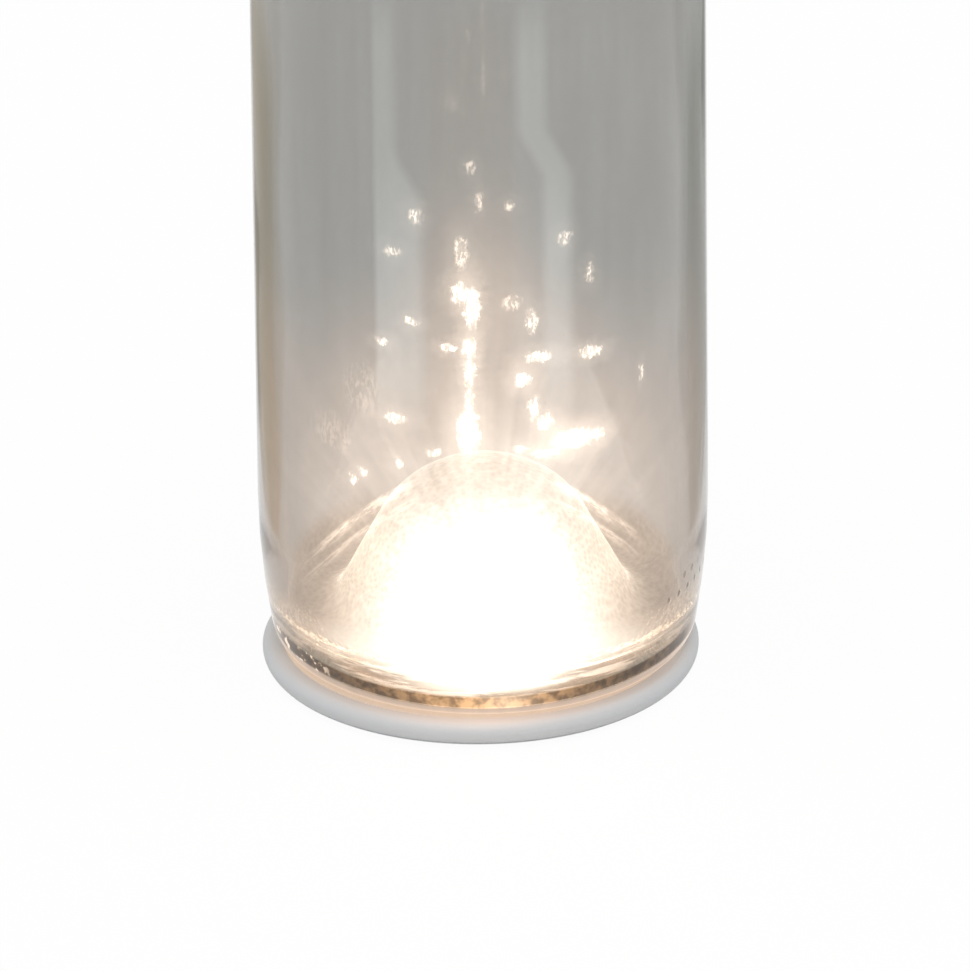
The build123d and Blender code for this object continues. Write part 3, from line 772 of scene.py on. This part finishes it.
def wall_tint_and_shade(shader, settings, x, z, thread_shade, shown):
    """The front wall's tint with its thin and smoky places, and painted shade in its darker places."""
    smoke = shader.noise(shader.vector(SMOKE_STRETCH), *SMOKE_NOISE)
    # Painted shade: darker at the middle and low at the sides
    centre = x.within(CENTRE_LEFT_SPAN, CENTRE_RIGHT_SPAN) * 0.5
    low = x.math("ABSOLUTE").rise(*LOW_SIDE_SPAN) * z.rise(*LOW_TOP_SPAN) * 0.6
    changes = ((thread_shade * 0.85, THREAD_SHARES), (smoke.rise(*THIN_SPAN), THIN_SHARES),
               (smoke.rise(*SMOKY_SPAN), SMOKY_SHARES), (centre, CENTRE_SHADE_SHARES), (low, LOW_SHADE_SHARES))
    tint = rgb(settings.tint)
    for amount, shares in changes:
        changed = rgb([c * share for c, share in zip(settings.tint, shares)])
        tint = shader.mix(amount * shown, tint, changed)
    return tint


def heel_light(x, up, level, heel, middle, threads, thread_shade):
    """Painted warm light in the heel over its dark band, with thin painted bright lines low down."""
    wide = x.bell(WIDE_HALF, FLAT_POWER)
    glare = middle * up.rise(*MIDDLE_GLARE_SPAN) * 1.1
    glare = glare + wide * up.within(WIDE_GLARE_TOP_SPAN, WIDE_GLARE_FOOT_SPAN) * 0.5
    glare = glare * level.rise(*GLARE_FOOT_SPAN) * (1.0 - 0.6 * thread_shade)
    lines = level.rise(*LINES_SPAN) * threads.rise(*THREAD_BRIGHT_SPAN)
    return glare + lines * (0.10 + 0.5 * middle) * (1.0 - heel)


def glass_layer(shader, settings, **sockets):
    """One kind of glass surface of the bottle."""
    return shader.principled(Roughness=0.0, IOR=settings.ior, Transmission_Weight=1.0,
                             Emission_Strength=1.0, **sockets)


def front_layer(shader, settings, light, radius, up):
    """The front of the bottle's outer surface, where the disc's light is painted into the wall."""
    x, y, z = shader.axes()
    edge_fade = y.rise(*EDGE_FADE_SPAN)
    top_fade = z.rise(*TOP_FADE_SPAN)
    above = z.rise(*ABOVE_HEEL_SPAN)
    turn = y.math("ARCTAN2", x)
    slant = up - radius
    threads = shader.noise(shader.joined(turn * THREADS_ROUND, slant * THREADS_UP, 0.0), *THREAD_NOISE)
    place = shader.joined(turn * PATCHES_ROUND, slant * PATCHES_UP, PATCHES_SLICE)
    patches = shader.noise(place, *PATCH_NOISE)
    thread_shade = threads.rise(*THREAD_DARK_SPAN) * up.rise(*THREAD_TOP_SPAN)
    thread_shade = thread_shade * x.math("ABSOLUTE").rise(*THREAD_SIDE_SPAN)
    level = up - BAND_LEVEL - (x / BAND_SPREAD) ** 2.0 * BAND_LIFT
    band = level.math("ABSOLUTE").rise(BAND_HALF + BAND_SOFT, BAND_HALF - BAND_SOFT)
    foot = level.rise(0.0, -BAND_HALF)
    heel = band.math("MAXIMUM", foot)
    dots = heel_dots(x, y, up)
    tint = wall_tint_and_shade(shader, settings, x, z, thread_shade, edge_fade * top_fade)
    # Painted shade: the heel's band and the foot below it go black, the raised dots nearly black; their
    # light is painted on below
    tint = shader.mix((heel * edge_fade).math("MAXIMUM", dots * 0.9), tint, BLACK)
    middle = x.bell(MIDDLE_HALF)
    # Painted glow in the dark band
    painted_band_glow = band * (0.10 + 0.56 * x.bell(NARROW_HALF) + 0.14 * middle)
    painted_band_glow = painted_band_glow * (0.50 + 0.8 * patches.rise(*PATCH_SPAN))
    # Painted light in the foot below the band, where the lit disc shows through the glass
    foot = foot * (1.0 - band) * (0.48 + 0.14 * middle) * (0.85 + 0.3 * patches)
    # Painted glints where the band breaks up at the left, and at its middle
    broken = band * x.rise(*BROKEN_SPAN) * patches.rise(*BROKEN_PATCH_SPAN) * BROKEN_LIGHT
    star = band * (x - STAR_PLACE).bell(STAR_HALF) * STAR_LIGHT
    # Painted highlights: the glints, the arcs beside the crown, and the glints on the heel's band
    sparks = (wall_glints(shader) + punt_wings(shader, x, z) * WING_LIGHT) * above + broken + star
    # Painted reflections of soft lamps
    bands = painted_lamp_reflections(shader, x, z) * top_fade
    # Painted warm light: the column over the punt and the light over the heel's band
    warm = wall_light(shader, x, z) * above
    warm = warm + heel_light(x, up, level, heel, middle, threads, thread_shade)
    emission = shader.scaled(shader.mix(warm.rise(*WARM_SPAN), rgb(light.glow), GLARE_COLOUR), warm)
    for colour, amount in ((GLARE_COLOUR, sparks), (BAND_PAINTED_GLOW, painted_band_glow), (FOOT_PAINTED_GLOW, foot),
                           (COOL_PAINTED_REFLECTION, bands)):
        emission = shader.summed(emission, shader.scaled(colour[:3], amount))
    return glass_layer(shader, settings, Base_Color=tint, Emission_Color=shader.scaled(emission, edge_fade),
                       Normal=shader.bump(dots, DOT_HEIGHT))


def punt_layer(shader, settings, radius, up):
    """The stippled underside of the punt, with the disc's light painted on it and painted shade round that
    light.
    """
    core = radius.rise(*CORE_ROUND_SPAN) * up.rise(*CORE_UP_SPAN)
    stipple = shader.cells(shader.place, STIPPLE_SCALE)
    level = (0.16 + 1.5 * core) * (0.60 + 0.8 * stipple)
    tint = shader.mix(core.rise(*CORE_TINT_SPAN), PUNT_SHADE, WHITE)
    return glass_layer(shader, settings, Base_Color=tint,
                       Emission_Color=shader.scaled(GLARE_COLOUR[:3], level),
                       Normal=shader.bump(stipple * up.rise(*STIPPLE_SPAN), STIPPLE_HEIGHT))


def dome_layer(shader, settings, radius, up):
    """The upper side of the punt: dark stippled glass with the disc's light painted on it, brighter on its
    front and back slopes, with faint painted rings.
    """
    x, y = shader.axes()[:2]
    high = up.rise(*CROWN_SPAN)
    slope = y.math("ABSOLUTE").rise(*SLOPE_SPAN) * x.bell(SLOPE_HALF, FLAT_POWER)
    stipple = shader.cells(shader.place, STIPPLE_SCALE)
    cloud = shader.noise(shader.place, *DOME_NOISE)
    rings = ((radius + cloud * RING_WANDER) * RING_RATE).math("SINE") * radius.rise(*RING_SPAN) * 0.06
    level = 1.16 + slope * (1.0 - 0.55 * high) - 0.44 * high + rings
    level = level * (0.52 + 0.56 * stipple + 0.45 * cloud)
    level = level * (0.34 + 0.66 * radius.rise(*DOME_DIM_SPAN))
    colour = shader.mix(slope + high * 0.5, DOME_PAINTED_GLOW, DOME_PAINTED_WHITE)
    return glass_layer(shader, settings, Base_Color=BLACK, Emission_Color=shader.scaled(colour, level),
                       Normal=shader.bump(stipple, STIPPLE_HEIGHT))


def clear_glass(settings, light):
    """Grey-clear bottle glass that lets lamps through.

    The outer surface carries the tint, so the walls look the same at the middle and at the rims.
    """
    shader = Shader("clear_glass")
    radius, height = radius_of(shader)
    y = shader.axes()[1]
    up = height - GLASS_BOTTOM
    mid_wall = BOTTLE_RADIUS - SIDE_WALL / 2 - HEEL_DRAW * up.rise(*HEEL_DRAW_SPAN)
    mid_wall = mid_wall - FOOT_DRAW * up.rise(*FOOT_DRAW_SPAN) - NECK_DRAW * up.rise(*NECK_DRAW_SPAN)
    outside = (radius - mid_wall).rise(*OUTSIDE_SPAN)
    front = y.rise(*FRONT_SPAN) * outside * height.rise(*FRONT_TOP_SPAN)
    mid_punt = (PUNT_BASE_RADIUS + PUNT_SIDE_GLASS / 2 - up * PUNT_SLANT - radius).rise(*UNDER_SPAN)
    from_cap = (radius ** 2.0 + (up - CAP_LEVEL) ** 2.0) ** 0.5 - CAP_RADIUS
    under = mid_punt * (1.0 - from_cap.rise(*UNDER_SPAN) * up.rise(*CAP_FOOT_SPAN))
    low_enough = radius.rise(*TROUGH_INNER_SPAN).math("MAXIMUM", up.rise(*TROUGH_TOP_SPAN))
    dome = (1.0 - under) * radius.rise(*TROUGH_SPAN) * low_enough
    dome = dome * up.within(DOME_FOOT_SPAN, DOME_TOP_SPAN)
    tint = shader.mix(outside, WHITE, rgb(settings.tint))
    surface = glass_layer(shader, settings, Base_Color=tint, Emission_Color=BLACK)
    # The front wall, the punt's underside and its upper side carry painted light and painted shade
    surface = shader.blend(front, surface, front_layer(shader, settings, light, radius, up))
    surface = shader.blend(under, surface, punt_layer(shader, settings, radius, up))
    surface = shader.blend(dome, surface, dome_layer(shader, settings, radius, up))
    through = shader.add("BsdfTransparent", {}, {"Color": THROUGH_COLOUR})
    path = shader.add("LightPath", {}, {})
    surface = shader.blend(path.outputs["Is Shadow Ray"], surface, through.outputs[0])
    soak = shader.add("VolumeAbsorption", {}, {"Color": SOAK_COLOUR, "Density": settings.density})
    return shader.finish(surface, soak.outputs[0])


def natural_cork(settings):
    """Cork: warm grain with dark pits and short streaks."""
    shader = Shader("natural_cork")
    grain = shader.noise(shader.place, *CORK_NOISE)
    pits = shader.noise(shader.vector(PIT_STRETCH), *PIT_NOISE).rise(*PIT_SPAN)
    colour = shader.mix(pits, shader.shades(grain, settings.light, 0.72), rgb(settings.dark))
    normal = shader.bump(grain * 0.4 - pits, CORK_GRAIN)
    return shader.finish(shader.principled(Base_Color=colour, Roughness=0.85, Normal=normal))


def moulding(name, colour, warmth=0.0):
    """Fine matte white moulding, faintly mottled. Warmth adds painted warm light at its top."""
    shader = Shader(name)
    tone = shader.shades(shader.noise(shader.place, *MOTTLE_NOISE), colour, 0.94)
    grain = shader.noise(shader.place, *FINE_NOISE)
    sockets = {"Base_Color": tone, "Roughness": 0.62, "Normal": shader.bump(grain, MOULDING_GRAIN)}
    if warmth:
        radius, height = radius_of(shader, DISC_AXIS)
        front = shader.axes()[0].bell(PAINTED_SPILL_HALF)
        # Painted light, strongest at the middle across
        painted_spill = (0.05 + 0.95 * front) * radius.rise(*PAINTED_SPILL_ROUND_SPAN) * height.rise(*PAINTED_SPILL_UP_SPAN)
        sockets["Emission_Color"] = shader.scaled(PAINTED_SPILL_COLOUR, painted_spill)
        sockets["Emission_Strength"] = warmth
    return shader.finish(shader.principled(**sockets))


def milky_window(light):
    """Lit window: brightest over the light diodes."""
    shader = Shader("milky_window")
    x, y = shader.axes()[:2]
    hot = None
    for i in range(DIODE_COUNT):
        turn = DIODE_TURN + radians(360.0 / DIODE_COUNT * i)
        dx = x - (DISC_AXIS + DIODE_CIRCLE * cos(turn))
        dy = y - DIODE_CIRCLE * sin(turn)
        spot = ((dx ** 2.0 + dy ** 2.0) ** 0.5).rise(*DIODE_SPOT)
        hot = spot if hot is None else hot + spot
    colour = shader.scaled(tuple(light.glow), 0.45 + hot * 1.6)
    surface = shader.principled(Base_Color=MILKY_COLOUR, Roughness=0.5, Emission_Color=colour,
                                Emission_Strength=light.window_strength)
    return shader.finish(surface)


def soft_ring(name, colour, roughness, glow=None, strength=0.0):
    """Soft rubbery ring with a faint surface grain, and a painted glow when one is given."""
    shader = Shader(name)
    grain = shader.noise(shader.place, *RUBBER_NOISE)
    tone = shader.shades(grain, colour, 0.85)
    sockets = {"Base_Color": tone, "Roughness": roughness, "Normal": shader.bump(grain, RUBBER_GRAIN)}
    # A painted glow
    if glow is not None:
        sockets["Emission_Color"] = rgb(glow)
        sockets["Emission_Strength"] = strength
    return shader.finish(shader.principled(**sockets))


def plated_metal(name, colour, roughness):
    """Plated metal with fine drawn lines and small changes of gloss."""
    shader = Shader(name)
    lines = shader.noise(shader.vector(DRAWN_STRETCH), *DRAWN_NOISE)
    rough = roughness + 0.15 * shader.noise(shader.place, *SMUDGE_NOISE)
    surface = shader.principled(Base_Color=shader.shades(lines, colour, 0.8), Metallic=1.0,
                                Roughness=rough, Normal=shader.bump(lines, HARD_GRAIN))
    return shader.finish(surface)


def glossy_part(name, colour, roughness):
    """Small moulded or glazed part with faint mottling."""
    shader = Shader(name)
    mottle = shader.noise(shader.place, *GLAZE_NOISE)
    surface = shader.principled(Base_Color=shader.shades(mottle, colour, 0.82), Roughness=roughness,
                                Normal=shader.bump(mottle, HARD_GRAIN))
    return shader.finish(surface)


def phosphor(light):
    """Yellow phosphor, lit."""
    shader = Shader("phosphor")
    grain = shader.noise(shader.place, *POWDER_NOISE)
    tone = shader.mix(grain, PHOSPHOR_LIGHT, PHOSPHOR_DARK)
    surface = shader.principled(Base_Color=tone, Roughness=0.35, Emission_Color=tone,
                                Emission_Strength=light.window_strength)
    return shader.finish(surface)


# Pieces

def bottle_outline():
    """The glass section, from the crown of the punt outside, over the mouth, to the crown inside."""
    lip_low = BOTTLE_HEIGHT - LIP_HEIGHT
    outside = rounded_outline(
        [(0, PUNT_HEIGHT), (PUNT_CROWN_RADIUS, PUNT_HEIGHT), (PUNT_BASE_RADIUS, 0), (HEEL_BASE_RADIUS, 0),
         (BOTTLE_RADIUS, HEEL_HEIGHT), (BOTTLE_RADIUS, SHOULDER_HEIGHT),
         (NECK_FOOT_RADIUS, NECK_FOOT_HEIGHT), (NECK_TOP_RADIUS, lip_low - LIP_FOOT_SLOPE),
         (LIP_RADIUS, lip_low), (LIP_RADIUS, BOTTLE_HEIGHT), (BORE_RADIUS, BOTTLE_HEIGHT),
         (BORE_RADIUS, lip_low)],
        [PUNT_BEND, PUNT_BASE_CORNER, HEEL_CORNER, HEEL_BEND, SHOULDER_BEND, NECK_FOOT_BEND,
         LIP_FOOT_CORNER, LIP_CORNER, LIP_CORNER, MOUTH_CORNER], ROUND_STEP)
    side_shift = PUNT_SIDE_GLASS * np.sqrt(1 + PUNT_SLANT ** 2)
    crown_height = PUNT_HEIGHT + PUNT_GLASS
    trough_inner = PUNT_BASE_RADIUS + side_shift - PUNT_SLANT * HEEL_GLASS
    crown_radius = trough_inner - PUNT_SLANT * (crown_height - HEEL_GLASS)
    heel_lean = (BOTTLE_RADIUS - HEEL_BASE_RADIUS) / HEEL_HEIGHT
    trough_outer = HEEL_BASE_RADIUS - SIDE_WALL + heel_lean * HEEL_GLASS
    shoulder_turn = np.arctan2(BOTTLE_RADIUS - NECK_FOOT_RADIUS, NECK_FOOT_HEIGHT - SHOULDER_HEIGHT)
    inner_shoulder = SHOULDER_HEIGHT - SIDE_WALL * np.tan(shoulder_turn / 2)
    inside = rounded_outline(
        [(0, crown_height), (crown_radius, crown_height), (trough_inner, HEEL_GLASS),
         (trough_outer, HEEL_GLASS), (BOTTLE_RADIUS - SIDE_WALL, HEEL_HEIGHT + HEEL_GLASS),
         (BOTTLE_RADIUS - SIDE_WALL, inner_shoulder), (BORE_FOOT_RADIUS, NECK_FOOT_HEIGHT - SIDE_WALL),
         (BORE_RADIUS, lip_low - LIP_HEIGHT), (BORE_RADIUS, lip_low)],
        [INNER_PUNT_BEND, TROUGH_CORNER, TROUGH_CORNER, INNER_HEEL_BEND,
         SHOULDER_BEND - SIDE_WALL, NECK_FOOT_BEND + SIDE_WALL, BORE_RADIUS], ROUND_STEP)
    outline = split_long(np.concatenate([outside[:-1], inside[::-1]]), LONGEST_STEP)
    outline[:, 1] += GLASS_BOTTOM
    return outline


def glass_wave(height):
    """Unevenness of the inner surface: a few slow ripples round and up the bottle, none at the mouth."""
    def wave(radius, level, around):
        inner = (radius < BOTTLE_RADIUS - SIDE_WALL / 2) & (radius > RIPPLE_FROM)
        inner &= level > GLASS_BOTTOM + HEEL_HEIGHT
        ripple = sum(share * np.sin(turns * around + rate * level + shift)
                     for turns, rate, shift, share in RIPPLES)
        ease = np.clip((level - GLASS_BOTTOM - HEEL_HEIGHT) / RIPPLE_EASE, 0, 1)
        return inner * ease * height * ripple / sum(share for *_, share in RIPPLES)
    return wave


# Operators

class BOTTLELIGHT_OT_bottle(bpy.types.Operator):
    """Make the glass bottle"""
    bl_idname = "bottlelight.bottle"
    bl_label = "Glass Bottle"

    def execute(self, context):
        settings = context.scene.bottle_glass
        light = context.scene.bottle_light
        glass = lathe("bottle_glass", bottle_outline(), settings.segments, glass_wave(settings.wave_height))
        outward(glass)
        dress(glass, clear_glass(settings, light), "bottle", "clear_glass", "glass_bottle")
        return {"FINISHED"}


class BOTTLELIGHT_OT_cork(bpy.types.Operator):
    """Finish the cork stopper"""
    bl_idname = "bottlelight.cork"
    bl_label = "Cork Stopper"

    def execute(self, context):
        dress_node("cork_stopper", natural_cork(context.scene.bottle_cork))
        return {"FINISHED"}


class BOTTLELIGHT_OT_disc(bpy.types.Operator):
    """Finish the outside of the light disc"""
    bl_idname = "bottlelight.disc"
    bl_label = "Light Disc"

    def execute(self, context):
        light = context.scene.bottle_light
        dress_node("top_shell", moulding("white_shell", light.shell, PAINTED_SPILL_STRENGTH))
        dress_node("light_window", milky_window(light))
        dress_node("grip_ring", soft_ring("clear_silicone", *SILICONE, light.glow, SILICONE_PAINTED_GLOW))
        plate = moulding("white_plate", light.shell)
        dress_node("base_plate", plate)
        dress_node("battery_door", plate)
        dress_node("foot_ring", soft_ring("foot_foam", *FOAM))
        dress_node("plate_screws", plated_metal("screw_steel", *SCREW_STEEL))
        return {"FINISHED"}


class BOTTLELIGHT_OT_inside(bpy.types.Operator):
    """Finish the parts inside the light disc"""
    bl_idname = "bottlelight.inside"
    bl_label = "Inside Parts"

    def execute(self, context):
        light = context.scene.bottle_light
        contact = plated_metal("contact_steel", *CONTACT_STEEL)
        steel = plated_metal("cell_steel", *CELL_STEEL)
        finishes = {
            "circuit_board": glossy_part("white_board", *BOARD),
            "led_bodies": glossy_part("diode_package", *DIODE_BODY),
            "led_lenses": phosphor(light),
            "resistors": glossy_part("resistor_glaze", *RESISTOR_GLAZE),
            "negative_contact": contact,
            "positive_contact": contact,
            "cell_can": steel,
            "cell_cap": steel,
            "cell_seal": glossy_part("cell_nylon", *CELL_NYLON),
            "switch_body": plated_metal("switch_steel", *SWITCH_STEEL),
            "switch_pins": plated_metal("pin_metal", *PIN_METAL),
            "switch_knob": glossy_part("knob_plastic", *KNOB_PLASTIC),
        }
        for node, material in finishes.items():
            dress_node(node, material)
        return {"FINISHED"}


def white_floor(bounce):
    """Pale floor: nearly all its own white where the camera sees it, with a faint shadow."""
    shader = Shader("pale_floor")
    seen = shader.seen()
    tone = shader.mix(seen, rgb([bounce] * 3), rgb([FLOOR_SEEN] * 3))
    lit = shader.add("BsdfDiffuse", {}, {"Color": tone})
    white = shader.add("Emission", {}, {"Strength": 1.0})
    return shader.finish(shader.blend(seen * FLOOR_OWN_LIGHT, lit.outputs[0], white.outputs[0]))


def side_card(name, side, colour):
    """A standing card beside the bottle that shows only through the glass and in reflections, where it
    darkens the rim.
    """
    x = side * CARD_DISTANCE
    corners = np.array([(x, 0, 0), (x, CARD_LENGTH, 0), (x, CARD_LENGTH, CARD_HEIGHT), (x, 0, CARD_HEIGHT)])
    card = mesh_object(name, corners, [[0, 1, 2, 3]])
    shader = Shader(name)
    y, z = shader.axes()[1:]
    tone = shader.shades(shader.noise(shader.place, *CARD_NOISE), colour, 0.85)
    full = z.within(CARD_FOOT_SPAN, CARD_TOP_SPAN) * y.within(CARD_NEAR_SPAN, CARD_FAR_SPAN)
    paint = shader.add("Emission", {}, {"Color": shader.mix(full, WHITE, tone), "Strength": 1.0})
    card.data.materials.append(shader.finish(paint.outputs[0]))
    for ray in ("camera", "diffuse", "shadow", "volume_scatter"):
        setattr(card, "visible_" + ray, False)


def white_sky(strength):
    """Surroundings: white to the camera and in glass, softer as light."""
    shader = Shader("studio", "worlds")
    unseen = shader.add("Background", {}, {"Color": WHITE, "Strength": strength})
    own = shader.add("Background", {}, {"Color": WHITE, "Strength": 1.0})
    surface = shader.blend(shader.seen(), unseen.outputs[0], own.outputs[0])
    bpy.context.scene.world = shader.finish(surface, output="OutputWorld")


def photo_camera():
    """The camera: back along a line that rises from the aim point, then rolled about its own axis."""
    back = Vector((0, -cos(CAMERA_RISE), sin(CAMERA_RISE)))
    level = Vector((1, 0, 0))
    upright = Vector((0, sin(CAMERA_RISE), cos(CAMERA_RISE)))
    right = cos(CAMERA_ROLL) * level + sin(CAMERA_ROLL) * upright
    up = cos(CAMERA_ROLL) * upright - sin(CAMERA_ROLL) * level
    data = bpy.data.cameras.new("photo_camera")
    data.lens = FOCAL_PIXELS / FRAME_PIXELS * SENSOR_SIDE
    data.sensor_width = SENSOR_SIDE
    data.clip_end = CAMERA_REACH
    camera = bpy.data.objects.new("photo_camera", data)
    bpy.context.scene.collection.objects.link(camera)
    turn = Matrix((right, up, back)).transposed().to_4x4()
    place = Vector(CAMERA_AIM) + back * CAMERA_DISTANCE
    camera.matrix_world = Matrix.Translation(place) @ turn
    bpy.context.scene.camera = camera


class BOTTLELIGHT_OT_stage(bpy.types.Operator):
    """Make the floor, the lamp, the cards, the surroundings and the camera"""
    bl_idname = "bottlelight.stage"
    bl_label = "Stage"

    def execute(self, context):
        settings = context.scene.bottle_stage
        context.scene.view_settings.view_transform = "Standard"
        corners = np.array([(-1, -1, 0), (1, -1, 0), (1, 1, 0), (-1, 1, 0)]) * FLOOR_HALF
        floor = mesh_object("pale_floor", corners, [[0, 1, 2, 3]])
        floor.data.materials.append(white_floor(settings.floor_bounce))
        lamp_data = bpy.data.lights.new("overhead_lamp", "AREA")
        lamp_data.energy = settings.lamp_watts
        lamp_data.shape = "SQUARE"
        lamp_data.size = LAMP_SIDE
        lamp = bpy.data.objects.new("overhead_lamp", lamp_data)
        context.scene.collection.objects.link(lamp)
        lamp.location = LAMP_PLACE
        side_card("left_card", -1, LEFT_CARD_COLOUR)
        side_card("right_card", 1, RIGHT_CARD_COLOUR)
        white_sky(settings.sky)
        photo_camera()
        return {"FINISHED"}


class BOTTLELIGHT_PT_panel(bpy.types.Panel):
    """The sidebar panel that lists the pieces"""
    bl_label = "Bottle Light"
    bl_idname = "BOTTLELIGHT_PT_panel"
    bl_space_type = "VIEW_3D"
    bl_region_type = "UI"
    bl_category = "Bottle Light"

    def draw(self, context):
        for operator in OPERATORS:
            self.layout.operator(operator.bl_idname)
        for group, pointer in zip(GROUPS, POINTERS):
            box = self.layout.box()
            for key in group.__annotations__:
                box.prop(getattr(context.scene, pointer), key)


GROUPS = (GlassSettings, LightSettings, CorkSettings, StageSettings)
POINTERS = ("bottle_glass", "bottle_light", "bottle_cork", "bottle_stage")
OPERATORS = (BOTTLELIGHT_OT_bottle, BOTTLELIGHT_OT_cork, BOTTLELIGHT_OT_disc, BOTTLELIGHT_OT_inside,
             BOTTLELIGHT_OT_stage)


def register():
    """Registers the settings, operators and panel."""
    for group, pointer in zip(GROUPS, POINTERS):
        bpy.utils.register_class(group)
        setattr(bpy.types.Scene, pointer, PointerProperty(type=group))
    for cls in (*OPERATORS, BOTTLELIGHT_PT_panel):
        bpy.utils.register_class(cls)


def unregister():
    """Takes them away again."""
    for cls in (BOTTLELIGHT_PT_panel, *reversed(OPERATORS)):
        bpy.utils.unregister_class(cls)
    for group, pointer in zip(GROUPS, POINTERS):
        delattr(bpy.types.Scene, pointer)
        bpy.utils.unregister_class(group)


def main():
    """Makes every piece in order."""
    register()
    bpy.ops.bottlelight.bottle()
    bpy.ops.bottlelight.cork()
    bpy.ops.bottlelight.disc()
    bpy.ops.bottlelight.inside()
    bpy.ops.bottlelight.stage()


if __name__ == "__main__":
    main()
